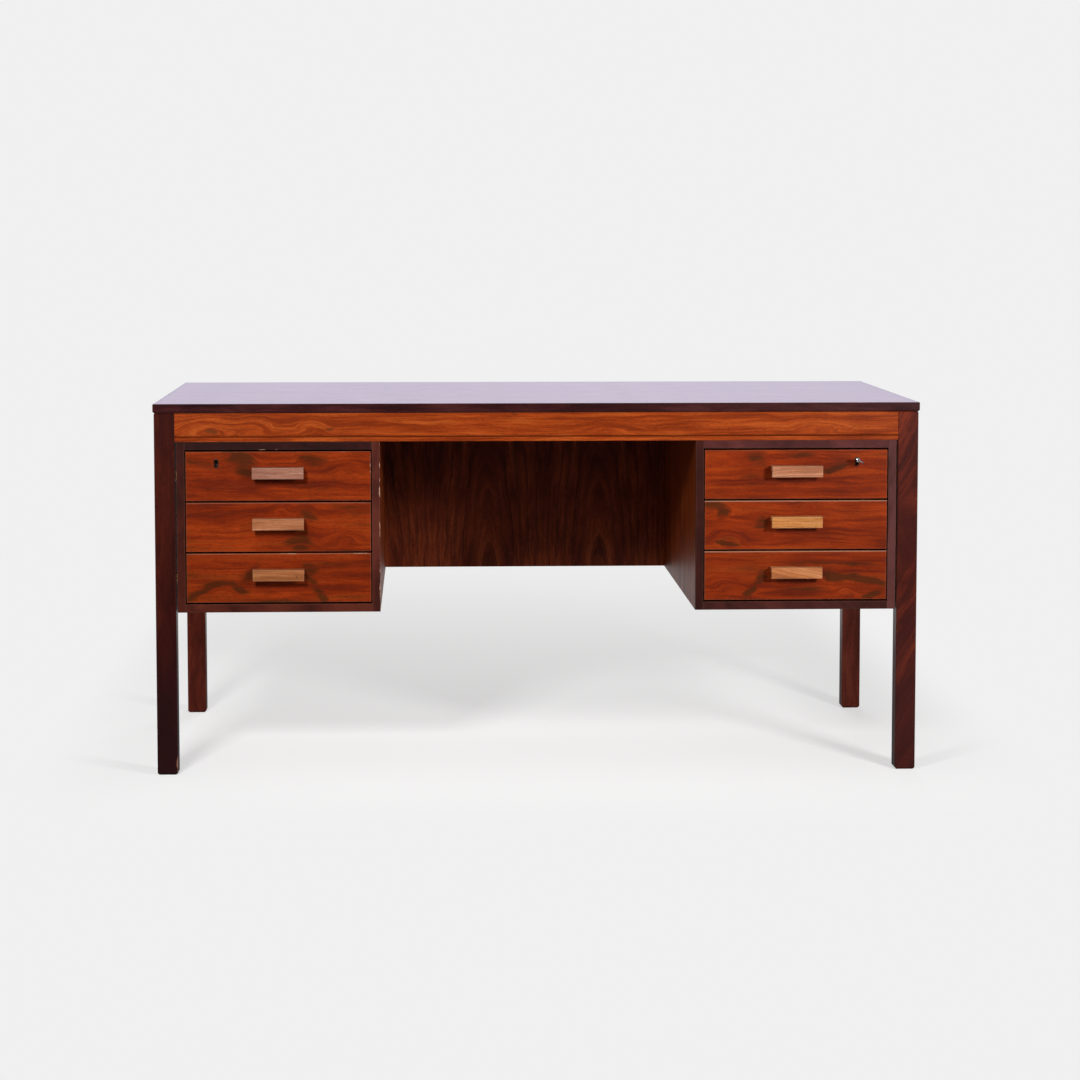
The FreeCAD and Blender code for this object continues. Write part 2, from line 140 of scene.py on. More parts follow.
top_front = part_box("desktop_lipping")[0].y
camera = bpy.data.objects.new("camera", bpy.data.cameras.new("camera"))
camera.data.sensor_width = sensor_mm
camera.data.lens = camera_lens_mm
camera.data.shift_y = camera_rise_share
camera.location = (-camera_left, top_front - camera_before_front, camera_height)
camera.rotation_euler = (math.radians(90 - camera_tilt_degrees), 0, math.radians(-camera_turn_degrees))
scene.collection.objects.link(camera)
scene.camera = camera
print("camera at", tuple(round(c, 3) for c in camera.location))

# %% [markdown]
# ## The studio
# The desk stands on a pale floor that runs into a pale backdrop, and the camera sees both in one plain
# colour. Lacquer mirrors the whole room, though, and a real studio is dark behind the camera and
# overhead, apart from a pale wall to the right. Mirror rays therefore read a level that falls off in
# those directions, which keeps the dark wood dark, lets the top mirror the backdrop, and greys the right
# end of the desk.

# %% World
backdrop_hex = "#f0f0f0"
mirrored_hex = "#f0e8ff"
fill_hex = "#f4f2f0"
fill_strength = 0.11
dark_level, wall_level, ceiling_level = 0.05, 0.5, 0.35
wall_from, wall_to = 0.08, 0.32
behind_from, behind_to = -0.5, 0.3
ceiling_from, ceiling_to = 0.15, 0.6


def seen_directly(tree):
    """1 for rays from the camera, a mirror or glass and 0 for others; then 1 for the camera's rays alone."""
    path = add(tree, "LightPath")
    mirror = add(tree, "Math", path["Is Glossy Ray"], path["Is Transmission Ray"], operation="MAXIMUM")[0]
    return add(tree, "Math", path["Is Camera Ray"], mirror, operation="MAXIMUM")[0], path["Is Camera Ray"]


def level_in_front(tree, x, y):
    """Level of the room on the camera's side: dark, paler towards the right wall by the slope of x to y."""
    depth = add(tree, "Math", y, operation="ABSOLUTE")[0]
    slope = add(tree, "Math", x, depth, operation="DIVIDE")[0]
    return add(tree, "MapRange", slope, wall_from, wall_to, dark_level, wall_level, **SMOOTH)[0]


def make_world():
    """Pale backdrop for the camera, the room's levels for mirrors, and a soft fill for the rest."""
    world = bpy.data.worlds.new("studio")
    world.use_nodes = True
    tree = world.node_tree
    tree.nodes.clear()
    direct, from_camera = seen_directly(tree)
    x, y, z = add(tree, "SeparateXYZ", add(tree, "TexCoord")["Generated"])
    behind = add(tree, "MapRange", y, behind_from, behind_to, level_in_front(tree, x, y), 1.0, **SMOOTH)[0]
    height = add(tree, "MapRange", z, ceiling_from, ceiling_to, 1.0, ceiling_level, **SMOOTH)[0]
    mirrored = add(tree, "Math", behind, height, operation="MULTIPLY")[0]
    level = add(tree, "Math", mirrored, from_camera, operation="MAXIMUM")[0]
    tint = add(tree, "Mix", Factor=from_camera, A=linear(mirrored_hex), B=linear(backdrop_hex),
               data_type="RGBA")["Result"]
    shown = add(tree, "Background", tint, level)[0]
    fill = add(tree, "Background", linear(fill_hex), fill_strength)[0]
    add(tree, "OutputWorld", add(tree, "MixShader", direct, fill, shown)[0])
    return world


scene.world = make_world()
print("world:", scene.world.name, "fill", fill_strength)

# %% [markdown]
# The floor shows the backdrop's colour everywhere, mixed near the desk with a lit surface that takes the
# desk's shadow. That surface is brighter than white, since lamps narrowed to the desk would leave it grey.
# The shadow reaches far behind the desk, because the lamps stand in front of it. Mirror rays find the
# floor dim in front, where the room is dark, and close to the desk, where its shade is painted into
# the floor's glow.

# %% Floor
floor_half = 60.0
floor_white_hex = "#e9e9e9"
floor_gain = 1.55
shadow_share = 0.38
reach_side, reach_front, reach_back = 0.28, 0.5, 4.2
# Painted shade for mirror rays: the floor's glow is at its lowest level near the desk and rises again with
# distance.
mirror_near, mirror_far = 1.0, 2.6
painted_shade_level = 0.2
dim_in_front = 0.8


def outside_share(tree, place):
    """0 under the desk, growing to 1 at the shadow's reach on each side, and on past it."""
    turned = add(tree, "VectorMath", place, Scale=-1.0, operation="SCALE")[0]
    beyond = []
    for faced, reach in ((place, reach_back), (turned, reach_front)):
        past = add(tree, "VectorMath", faced, (cad_high.x, cad_high.y, 0.0), operation="SUBTRACT")[0]
        beyond.append(add(tree, "VectorMath", past, (reach_side, reach, 1.0), operation="DIVIDE")[0])
    furthest = add(tree, "VectorMath", *beyond, operation="MAXIMUM")[0]
    outside = add(tree, "VectorMath", furthest, (0.0, 0.0, 0.0), operation="MAXIMUM")[0]
    return add(tree, "VectorMath", outside, operation="LENGTH")["Value"]


def floor_paint():
    """The backdrop's colour, mixed near the desk with a lit surface; for mirrors the room's levels, with
    painted shade round the desk.
    """
    material, tree = new_material("pale painted studio floor")
    direct, from_camera = seen_directly(tree)
    place = add(tree, "TexCoord")["Object"]
    x, y, z = add(tree, "SeparateXYZ", place)
    away = add(tree, "VectorMath", place, operation="LENGTH")["Value"]
    # Painted shade round the desk in the floor's glow, for mirror rays.
    painted_shade_round_desk = add(tree, "MapRange", away, mirror_near, mirror_far, painted_shade_level, 1.0, **SMOOTH)[0]
    front = add(tree, "MapRange", y, top_front - dim_in_front, top_front, level_in_front(tree, x, y), 1.0,
                **SMOOTH)[0]
    mirrored = add(tree, "Math", painted_shade_round_desk, front, operation="MULTIPLY")[0]
    level = add(tree, "Math", mirrored, from_camera, operation="MAXIMUM")[0]
    plain = add(tree, "Emission", linear(backdrop_hex), level)[0]
    lit = add(tree, "BsdfDiffuse", linear(floor_white_hex))[0]
    bright = add(tree, "BsdfDiffuse", (floor_gain, floor_gain, floor_gain, 1.0))[0]
    near = add(tree, "MapRange", outside_share(tree, place), 0.0, 1.0, shadow_share, 0.0, **SMOOTH)[0]
    toned = add(tree, "Math", near, from_camera, operation="MULTIPLY")[0]
    shown = add(tree, "MixShader", toned, plain, bright)[0]
    add(tree, "OutputMaterial", add(tree, "MixShader", direct, lit, shown)[0])
    return material


def make_floor():
    """Square floor in its paint, marked as backdrop."""
    mesh = bpy.data.meshes.new("floor")
    corners = floor_half * np.array([(-1, -1, 0), (1, -1, 0), (1, 1, 0), (-1, 1, 0)])
    mesh.from_pydata(corners.tolist(), [], [(0, 1, 2, 3)])
    mesh.materials.append(floor_paint())
    floor = bpy.data.objects.new("floor", mesh)
    scene.collection.objects.link(floor)
    floor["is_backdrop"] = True


make_floor()
print("floor edge in metres:", 2 * floor_half)

# %% [markdown]
# The handles' shadows fall to the right on the left pedestal and to the left on the right one, so the
# photograph was lit by two soft boxes, one on each side of the camera. A grid on each box narrows its
# light to its own half of the desk. A third box behind the desk keeps its back readable. Seen from
# behind, the polished top would mirror the front boxes as two white squares, which a photographer takes
# away with a polarising filter. Here each front box is a pair of lamps instead, shared out by light
# linking: one for the top, which no mirror shows, and one for the rest.

# %% Soft boxes
soft_boxes = {
    "left": {"place": (-1.05, -2.4, 1.65), "aim": (-0.5, -0.36, 0.5), "size": 0.4, "spread": 80.0,
             "watts": 8.6},
    "right": {"place": (1.45, -2.1, 1.17), "aim": (0.3, -0.36, 0.45), "size": 0.35, "spread": 80.0,
              "watts": 7.6},
    "rear": {"place": (0.6, 4.4, 3.4), "aim": (0.0, 0.38, 0.45), "size": 1.6, "spread": 180.0,
             "watts": 50.0},
}


def light_group(name, link_state):
    """The top's two nodes, to be the only ones that a lamp lights, or the only ones that it leaves out."""
    group = bpy.data.collections.new(name)
    for piece in ("desktop_panel", "desktop_lipping"):
        group.objects.link(frame["nodes"][piece])
    for member in group.collection_objects:
        member.light_linking.link_state = link_state
    return group


def add_lamp(name, soft_box, lit_group, mirrored):
    """Square lamp aimed at a point, for the pieces of a light group, shown in mirrors or not."""
    lamp = bpy.data.lights.new(name, "AREA")
    lamp.size = soft_box["size"]
    lamp.spread = math.radians(soft_box["spread"])
    lamp.energy = soft_box["watts"]
    holder = bpy.data.objects.new(name, lamp)
    holder.visible_camera = False
    holder.visible_glossy = mirrored
    holder.light_linking.receiver_collection = lit_group
    holder.location = soft_box["place"]
    direction = Vector(soft_box["aim"]) - holder.location
    holder.rotation_euler = direction.to_track_quat("-Z", "Y").to_euler()
    scene.collection.objects.link(holder)
    print(name, "at", soft_box["place"], "watts", lamp.energy)


top_only = light_group("top_only", "INCLUDE")
all_but_top = light_group("all_but_top", "EXCLUDE")
for side in ("left", "right"):
    add_lamp(f"{side}_soft_box", soft_boxes[side], all_but_top, True)
    add_lamp(f"{side}_soft_box_for_top", soft_boxes[side], top_only, False)
add_lamp("rear_soft_box", soft_boxes["rear"], None, True)

# %% [markdown]
# ## Rosewood
# Rosewood is red-brown with nearly black streaks that follow the tree's rings. A board shows those rings
# where its face cuts them. So the pattern starts from a distance to the tree's middle, the pith, bent by
# slow noise, and everything else is read along that distance: streaks then stay side by side and bend
# together, as in real veneer. Painting streaks straight onto the face would be simpler, but they would
# never close round a knot.

# %% Grain space and noise
GRAIN_TURNS = {"x": (0, 0, 0), "y": (0, 0, -math.pi / 2), "z": (0, math.pi / 2, 0)}
SEED_STEPS = (3.7, 5.1, 7.3)


def piece_space(tree, piece, grain, slope_degrees=0.0):
    """Object coordinates in millimetres from the piece's middle, turned so that x runs along the grain."""
    low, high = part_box(piece)
    turn = Euler(GRAIN_TURNS[grain])
    turn.y += math.radians(slope_degrees)
    place = -(turn.to_matrix() @ ((low + high) / 2 * MM_PER_M))
    return add(tree, "Mapping", add(tree, "TexCoord")["Object"], place, turn, (MM_PER_M,) * 3)[0]


def inside_box(tree, piece):
    """Millimetres to the nearer faces of the piece's box, along x, y and z."""
    low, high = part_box(piece)
    from_middle = add(tree, "VectorMath", piece_space(tree, piece, "x"), operation="ABSOLUTE")[0]
    inside = add(tree, "VectorMath", (high - low) / 2 * MM_PER_M, from_middle, operation="SUBTRACT")[0]
    return add(tree, "SeparateXYZ", inside)


def mitred_space(tree, piece):
    """Space of a frame with mitred corners: grain along x, but along y in the strips at its two ends."""
    x, y, z = inside_box(tree, piece)
    at_end = add(tree, "Math", x, y, operation="LESS_THAN")[0]
    return add(tree, "Mix", Factor=at_end, A=piece_space(tree, piece, "x"), B=piece_space(tree, piece, "y"),
               data_type="VECTOR")["Result"]


def stretched_noise(tree, space, sizes_mm, seed, detail=2.0, roughness=0.5):
    """Noise whose blobs have the given sizes along x, y and z; the seed moves it to a fresh place."""
    scaled = add(tree, "Mapping", space, Location=tuple(seed * step for step in SEED_STEPS),
                 Scale=tuple(1 / size for size in sizes_mm))[0]
    return add(tree, "TexNoise", scaled, Scale=1.0, Detail=detail, Roughness=roughness)


def wander(tree, space, noise_colour, amounts_mm):
    """Space moved by a noise colour, less its middle value of a half, times an amount along each axis."""
    centred = add(tree, "VectorMath", noise_colour, (0.5, 0.5, 0.5), operation="SUBTRACT")[0]
    return add(tree, "VectorMath", centred, amounts_mm, space, operation="MULTIPLY_ADD")[0]


print("grain can run along", ", ".join(GRAIN_TURNS))

# %% [markdown]
# A large face is covered with leaves of veneer cut one after the other from the same log. Slipped side by
# side they repeat, and opened like a book they mirror. A leaf is a strip of the space across the grain,
# and the next leaf is read a little deeper in the log, so neighbours are alike but not the same. Each noise
# of a piece adds a fixed number to the piece's seed.

# %% Leaves and rings
DEPTH_AXIS = {"y": "z", "z": "y"}
SEEDS = {"bend": 0, "lines": 0, "figures": 2, "dashes": 3, "pores": 4, "mottle": 5, "chips": 6, "flames": 7,
         "curl": 8, "broad": 9}
bend_sizes_mm = (300.0, 80.0, 80.0)
curl_sizes_mm = (80.0, 30.0, 30.0)
leaf_step_mm = 3.0


def leaf_space(tree, space, wood):
    """Folds the axis across the face into strips: a modulo for slipped leaves, a ping-pong for a book."""
    parts = dict(zip("xyz", add(tree, "SeparateXYZ", space)))
    match, width, shift = wood["leaf"]
    across, depth = wood["across"], DEPTH_AXIS[wood["across"]]
    shifted = add(tree, "Math", parts[across], shift, operation="ADD")[0]
    counted = add(tree, "Math", shifted, width, operation="DIVIDE")[0]
    number = add(tree, "Math", counted, operation="FLOOR")[0]
    folded = add(tree, "Math", shifted, width, operation=match)[0]
    parts[across] = add(tree, "Math", folded, width / 2, operation="SUBTRACT")[0]
    parts[depth] = add(tree, "Math", number, leaf_step_mm, parts[depth], operation="MULTIPLY_ADD")[0]
    return add(tree, "CombineXYZ", *parts.values())[0]


def ring_distance(tree, space, wood):
    """The bent space, and in it the distance in mm to a pith that leans by the taper along the grain."""
    bend = stretched_noise(tree, space, bend_sizes_mm, wood["seed"] + SEEDS["bend"])["Color"]
    bent = wander(tree, space, bend, (0, wood["bend"], wood["bend"]))
    curl = stretched_noise(tree, bent, curl_sizes_mm, wood["seed"] + SEEDS["curl"])["Color"]
    bent = wander(tree, bent, curl, (0, wood["curl"], wood["curl"]))
    parts = dict(zip("xyz", add(tree, "SeparateXYZ", bent)))
    depth = DEPTH_AXIS[wood["across"]]
    parts[depth] = add(tree, "Math", parts["x"], wood["taper"], parts[depth], operation="MULTIPLY_ADD")[0]
    section = add(tree, "CombineXYZ", Y=parts["y"], Z=parts["z"])[0]
    return bent, add(tree, "VectorMath", section, (0.0, *wood["pith"]), operation="DISTANCE")["Value"]


print("leaves are read", leaf_step_mm, "mm apart in the log")

# %% [markdown]
# A figure is a place where the rings swell, such as the eye round a knot. It lifts the distance in a
# tilted ellipse, and it can darken or clear the wood there. Each row gives its middle as shares of the
# piece's length and height, then its length and width in millimetres, its tilt in degrees, its lift in
# millimetres and its darkness. The places were judged.

# %% Figures
figure_edge_mm = (46.0, 15.0, 15.0)
figure_wander_mm = (30.0, 0.0, 15.0)
figure_core, figure_rim = 0.15, 1.35
FLAT_REACH_MM = 1e4  # so long that the depth in the piece does not count


def add_figures(tree, piece, bent, ring, wood):
    """Ring distance with each figure's lift added, and the sum of the figures' darkness."""
    low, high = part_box(piece)
    size = (high - low) * MM_PER_M
    edges = stretched_noise(tree, bent, figure_edge_mm, wood["seed"] + SEEDS["figures"], detail=3.0)["Color"]
    rough = wander(tree, bent, edges, figure_wander_mm)
    dark = 0.0
    for along, across, length, width, tilt, lift, darkness in wood["figures"]:
        middle = ((along - 0.5) * size.x, 0.0, (across - 0.5) * size.z)
        turn = (0, -math.radians(tilt), 0)
        half = (length / 2, FLAT_REACH_MM, width / 2)
        scaled = add(tree, "Mapping", rough, middle, turn, half, vector_type="TEXTURE")[0]
        reach = add(tree, "VectorMath", scaled, operation="LENGTH")["Value"]
        swell = add(tree, "MapRange", reach, figure_core, figure_rim, 1.0, 0.0, **SMOOTH)[0]
        ring = add(tree, "Math", swell, lift, ring, operation="MULTIPLY_ADD")[0]
        dark = add(tree, "Math", swell, darkness, dark, operation="MULTIPLY_ADD")[0]
    return ring, dark


print("figures wander by", figure_wander_mm, "mm")

# %% [markdown]
# The wood's colour is read from noise on a sheet that has the ring distance along one side and the length
# of the board along the other. Long lines, short dashes and wide flames together are the fine reading,
# which goes through the wood's own tones. A saw-tooth of the distance gives ink lines, each with a soft
# start and a sharp end, as a season's growth has.

# %% Tones and ink lines
SHEET_NOISES = {
    "lines": {"rings": 1.0, "run_mm": 420.0, "detail": 4.0, "roughness": 0.6},
    "dashes": {"rings": 0.8, "run_mm": 60.0, "detail": 3.0, "roughness": 0.6},
    "flames": {"rings": 2.2, "run_mm": 120.0, "detail": 2.0, "roughness": 0.5},
    "broad": {"rings": 5.0, "run_mm": 294.0, "detail": 3.0, "roughness": 0.5},
}
dash_share = 0.5
broad_tone_share = 0.35
tones_from, tones_to = 0.42, 0.58
ink_drift = 2.4
ink_from, ink_to = 0.55, 0.98
pale_ring, dark_ring = 0.38, 0.62
least_ink_share = 0.15


def ring_readings(tree, space, ring, wood):
    """The fine and the broad reading of the sheet, the fine one mixed from lines, dashes and flames."""
    along = add(tree, "SeparateXYZ", space)["X"]
    sheet = add(tree, "CombineXYZ", ring, along)[0]
    read = {}
    for name, noise in SHEET_NOISES.items():
        sizes = (wood["ring"] * noise["rings"], noise["run_mm"], 1.0)
        read[name] = stretched_noise(tree, sheet, sizes, wood["seed"] + SEEDS[name], noise["detail"],
                                     noise["roughness"])["Fac"]
    fine = add(tree, "Mix", Factor=dash_share, A=read["lines"], B=read["dashes"])["Result"]
    fine = add(tree, "Mix", Factor=wood["flame_share"], A=fine, B=read["flames"])["Result"]
    return fine, read["broad"]


def wood_tones(tree, reading, tones):
    """Colour that goes from a wood's dark tone to its pale one over the middle of a reading's range."""
    colour = add(tree, "ValToRGB", reading)["Color"]
    stops = colour.node.color_ramp.elements
    places = np.linspace(tones_from, tones_to, len(tones)).tolist()
    stops[0].position, stops[1].position = places[0], places[-1]
    stops[0].color, stops[1].color = linear(tones[0]), linear(tones[-1])
    for place, tone in zip(places[1:-1], tones[1:-1]):
        stops.new(place).color = linear(tone)
    return colour


def ink_lines(tree, ring, broad, wood):
    """Share of ink: the last part of each tooth of a saw that counts rings, more of it in some rings."""
    drift = add(tree, "Math", broad, ink_drift, operation="MULTIPLY")[0]
    count = add(tree, "Math", ring, 1 / wood["ink_gap"], drift, operation="MULTIPLY_ADD")[0]
    tooth = add(tree, "Math", count, operation="FRACT")[0]
    line = add(tree, "MapRange", tooth, ink_from, ink_to, **SMOOTH)[0]
    share = add(tree, "MapRange", broad, pale_ring, dark_ring, least_ink_share * wood["ink_share"],
                wood["ink_share"])[0]
    return add(tree, "Math", line, share, operation="MULTIPLY")[0]


def toned_and_inked(tree, ring, fine, broad, wood):
    """Colour of the wood's tones, read from the fine noise and some of the broad, under its ink lines."""
    reading = add(tree, "Mix", Factor=broad_tone_share, A=fine, B=broad)["Result"]
    tones = wood_tones(tree, reading, wood["tones"])
    ink = ink_lines(tree, ring, broad, wood)
    return add(tree, "Mix", Factor=ink, A=tones, B=linear(wood["ink"]), data_type="RGBA")["Result"]


print("long lines run", SHEET_NOISES["lines"]["run_mm"], "mm before they change")

# %% [markdown]
# The broad reading, with the figures' darkness added, decides where near-black streaks run together and
# where the wood stays clear. Last come the pores, drawn a millimetre wide, coarser than real ones so that
# they show, and a faint mottle across the grain.

# %% Streaks, pores and mottle
fine_streak_share = 0.55
cloud_readings = (0.40, 0.60)
cloud_strengths = (0.45, 1.5)
clear_from, clear_to = 0.42, 0.26
clear_share = 0.55
pore_sizes_mm = (7.0, 1.0, 1.0)
pore_from, pore_to = 0.50, 0.72
mottle_sizes_mm = (70.0, 34.0, 34.0)
mottle_from, mottle_to = 0.3, 0.7


def streaked(tree, colour, fine, broad, dark, wood):
    """Colour with streaks where the blend of both readings is high, and with clear wood where it is low."""
    blend = add(tree, "Mix", Factor=fine_streak_share, A=broad, B=fine)["Result"]
    if dark is not None:
        strength = add(tree, "MapRange", fine, *cloud_readings, *cloud_strengths)[0]
        blend = add(tree, "Math", dark, strength, blend, operation="MULTIPLY_ADD")[0]
    streak = add(tree, "MapRange", blend, wood["streak_from"], wood["streak_to"], 0.0, wood["streak_share"],
                 **SMOOTH)[0]
    colour = add(tree, "Mix", Factor=streak, A=colour, B=linear(wood["streak"]), data_type="RGBA")["Result"]
    clear = add(tree, "MapRange", blend, clear_from, clear_to, 0.0, clear_share, **SMOOTH)[0]
    return add(tree, "Mix", Factor=clear, A=colour, B=linear(wood["clear"]), data_type="RGBA")["Result"]


def pored_and_mottled(tree, space, colour, wood):
    """Colour with pores of the ink's colour, dimmed and lifted by the mottle, and the share of pores."""
    pores = stretched_noise(tree, space, pore_sizes_mm, wood["seed"] + SEEDS["pores"])["Fac"]
    pore = add(tree, "MapRange", pores, pore_from, pore_to, 0.0, wood["pore_share"])[0]
    colour = add(tree, "Mix", Factor=pore, A=colour, B=linear(wood["ink"]), data_type="RGBA")["Result"]
    patches = stretched_noise(tree, space, mottle_sizes_mm, wood["seed"] + SEEDS["mottle"])["Fac"]
    mottle = add(tree, "MapRange", patches, mottle_from, mottle_to, 1 - wood["mottle"],
                 1 + wood["mottle"])[0]
    return add(tree, "VectorMath", colour, Scale=mottle, operation="SCALE")[0], pore


print("pores are drawn", pore_sizes_mm, "mm in size")

# %% [markdown]
# Furniture wears first at its arrises. The distance to the nearest edge of the piece's box gives a thin
# rubbed line, and taken from a noise it leaves a few pale chips. Larger chips have places of their own, as
# shares of the piece's box, with a length and a height in millimetres and an amount.

# %% Wear
chip_sizes_mm = (15.0, 7.0, 7.0)
chip_fall_per_mm = 0.10
chip_softness = 0.04
rub_width_mm = 1.6
# Width of the line along an upper arris: wear with a painted highlight on the fronts, painted shade on the
# rail strip.
top_rub_mm = 2.6


def edge_distance(tree, piece):
    """Millimetres to the nearest edge of the piece's box: the middle one of the distances to faces."""
    x, y, z = inside_box(tree, piece)
    lower = add(tree, "Math", x, y, operation="MINIMUM")[0]
    upper = add(tree, "Math", x, y, operation="MAXIMUM")[0]
    capped = add(tree, "Math", upper, z, operation="MINIMUM")[0]
    return add(tree, "Math", lower, capped, operation="MAXIMUM")[0]


def place_mm(tree):
    """Object coordinates in millimetres, as x, y and z."""
    place = add(tree, "VectorMath", add(tree, "TexCoord")["Object"], Scale=MM_PER_M, operation="SCALE")[0]
    return add(tree, "SeparateXYZ", place)


def top_arris(tree, piece, amount):
    """Share of a line along the upper arris of the front, fading down the face: wear and painted light."""
    low, high = (corner * MM_PER_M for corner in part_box(piece))
    x, y, z = place_mm(tree)
    near_top = add(tree, "MapRange", z, high.z - top_rub_mm, high.z - top_rub_mm / 2, 0.0, amount,
                   **SMOOTH)[0]
    near_front = add(tree, "MapRange", y, low.y + top_rub_mm / 2, low.y + top_rub_mm, 1.0, 0.0, **SMOOTH)[0]
    return add(tree, "Math", near_top, near_front, operation="MULTIPLY")[0]


def more_chips(tree, piece, chips, places):
    """Raises the chip noise round given places, by the amount at the middle and by nothing at the rim."""
    low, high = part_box(piece)
    space = piece_space(tree, piece, "x")
    for x_share, y_share, z_share, length, height, amount in places:
        share = Vector((x_share - 0.5, y_share - 0.5, z_share - 0.5))
        scaled = add(tree, "Mapping", space, Location=share * (high - low) * MM_PER_M,
                     Scale=(length, length, height), vector_type="TEXTURE")[0]
        reach = add(tree, "VectorMath", scaled, operation="LENGTH")["Value"]
        raised = add(tree, "MapRange", reach, 0.0, 1.0, amount, 0.0)[0]
        chips = add(tree, "Math", chips, raised, operation="ADD")[0]
    return chips


def worn_colour(tree, piece, space, colour, wood):
    """Colour with rubbed arrises, a top line of wear and painted light, and chips of bare wood; and the
    share chipped.
    """
    bare = linear(wood["bare"])
    edge = edge_distance(tree, piece)
    rub = add(tree, "MapRange", edge, 0.0, rub_width_mm, wood["rub_share"], 0.0)[0]
    # The upper arris line is partly wear and partly painted light: a painted highlight on the fronts,
    # painted groove shade on the rail strip.
    if wood["top_rub"]:
        rub = add(tree, "Math", rub, top_arris(tree, piece, wood["top_rub"]), operation="MAXIMUM")[0]
    colour = add(tree, "Mix", Factor=rub, A=colour, B=bare, data_type="RGBA")["Result"]
    chips = stretched_noise(tree, space, chip_sizes_mm, wood["seed"] + SEEDS["chips"], detail=3.0)["Fac"]
    if wood["chips"]:
        chips = more_chips(tree, piece, chips, wood["chips"])
    deep = add(tree, "Math", edge, -chip_fall_per_mm, chips, operation="MULTIPLY_ADD")[0]
    chipped = add(tree, "MapRange", deep, wood["chip_from"], wood["chip_from"] + chip_softness)[0]
    return add(tree, "Mix", Factor=chipped, A=colour, B=bare, data_type="RGBA")["Result"], chipped


print("arrises are rubbed over", rub_width_mm, "mm")

# %% [markdown]
# Some pieces are made of two woods, or have two colours for another reason: a board with a solid strip
# glued to its front edge, a drawer front with a plain veneer on its back, and a leg that is darker
# towards its foot. Separate materials would need the faces of the CAD mesh sorted. Reading
# the place instead keeps one material for the whole piece.

# %% Second colours
front_strip_mm = 6.0
backing_mm = 0.6
foot_from_mm, foot_to_mm = 390.0, 110.0
foot_share = 0.8


def with_second_colours(tree, piece, colour, fine, wood):
    """Colour with the tones of a front strip or a backing, or with a foot's colour, where they lie."""
    low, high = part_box(piece)
    x, y, z = place_mm(tree)
    if wood["front_strip"]:
        in_strip = add(tree, "Math", y, low.y * MM_PER_M + front_strip_mm, operation="LESS_THAN")[0]
        strip = wood_tones(tree, fine, wood["front_strip"])
        colour = add(tree, "Mix", Factor=in_strip, A=colour, B=strip, data_type="RGBA")["Result"]
    if wood["backing"]:
        behind = add(tree, "Math", y, high.y * MM_PER_M - backing_mm, operation="GREATER_THAN")[0]
        backing = wood_tones(tree, fine, wood["backing"])
        colour = add(tree, "Mix", Factor=behind, A=colour, B=backing, data_type="RGBA")["Result"]
    if wood["foot"]:
        at_foot = add(tree, "MapRange", z, foot_from_mm, foot_to_mm, 0.0, foot_share, **SMOOTH)[0]
        foot = linear(wood["foot"])
        colour = add(tree, "Mix", Factor=at_foot, A=colour, B=foot, data_type="RGBA")["Result"]
    return colour


print("front strips are", front_strip_mm, "mm deep")

# %% [markdown]
# One function puts the steps together. The finish is a satin lacquer, so the shader is a plain dielectric
# with an IOR near 1.5, a roughness that follows the grain a little, and a shallow relief from the same
# pores. Chips are bare and dull.

# %% A piece of finished wood
ROSEWOOD = {
    "finish": "satin lacquered rosewood", "grain": "x", "slope": 0.0, "mitred": False, "across": "z",
    "leaf": None, "seed": 1,
    "pith": (45.0, 190.0), "taper": 0.0, "bend": 20.0, "curl": 11.0, "ring": 5.0, "flame_share": 0.4,
    "figures": (),
    "tones": ("#621d08", "#792608", "#892e0a", "#98380e"), "clear": "#a03e12", "ink": "#461909",
    "ink_gap": 11.0, "ink_share": 0.22, "streak": "#40200b", "streak_from": 0.555, "streak_to": 0.75,
    "streak_share": 0.85, "pore_share": 0.55, "mottle": 0.07,
    "bare": "#b08a70", "rub_share": 0.25, "top_rub": 0.0, "chip_from": 0.70, "chips": (),
    "front_strip": None, "backing": None, "foot": None,
    "rough": 0.30, "relief": 0.15, "specular": 0.11,
}
gloss_from, gloss_to = 0.3, 0.7
dull_by, shine_by = 0.04, 0.03
bare_rough = 0.65
relief_depth = 0.0004
lacquer_ior = 1.5


def finished_wood(piece, **changes):
    """Material of one wooden piece: rings, figures, colour, wear, gloss and relief, in that order."""
    wood = {**ROSEWOOD, **changes}
    material, tree = new_material(f"{wood['finish']}, {piece}")
    if wood["mitred"]:
        space = mitred_space(tree, piece)
    else:
        space = piece_space(tree, piece, wood["grain"], wood["slope"])
    if wood["leaf"]:
        space = leaf_space(tree, space, wood)
    bent, ring = ring_distance(tree, space, wood)
    dark = None
    if wood["figures"]:
        ring, dark = add_figures(tree, piece, bent, ring, wood)
    fine, broad = ring_readings(tree, space, ring, wood)
    colour = toned_and_inked(tree, ring, fine, broad, wood)
    colour = streaked(tree, colour, fine, broad, dark, wood)
    colour, pore = pored_and_mottled(tree, space, colour, wood)
    if wood["front_strip"] or wood["backing"] or wood["foot"]:
        colour = with_second_colours(tree, piece, colour, fine, wood)
    colour, chipped = worn_colour(tree, piece, space, colour, wood)
    gloss = add(tree, "MapRange", fine, gloss_from, gloss_to, wood["rough"] + dull_by,
                wood["rough"] - shine_by)[0]
    gloss = add(tree, "Mix", Factor=chipped, A=gloss, B=bare_rough)["Result"]
    height = add(tree, "Math", fine, pore, operation="SUBTRACT")[0]
    relief = add(tree, "Bump", Strength=wood["relief"], Distance=relief_depth, Height=height)[0]
    shader = add(tree, "BsdfPrincipled", Base_Color=colour, Roughness=gloss, Normal=relief, IOR=lacquer_ior,
                 Specular_IOR_Level=wood["specular"])[0]
    add(tree, "OutputMaterial", shader)
    return material


print("options of a wood:", len(ROSEWOOD))

# %% [markdown]
# ## Drawer fronts
# The six fronts carry the liveliest veneer of the desk, red-orange with olive-black clouds. The log gives
# every front its own figure. One material for all six would show the same cloud six times, so each front
# has its own rows of figures and its own seed.

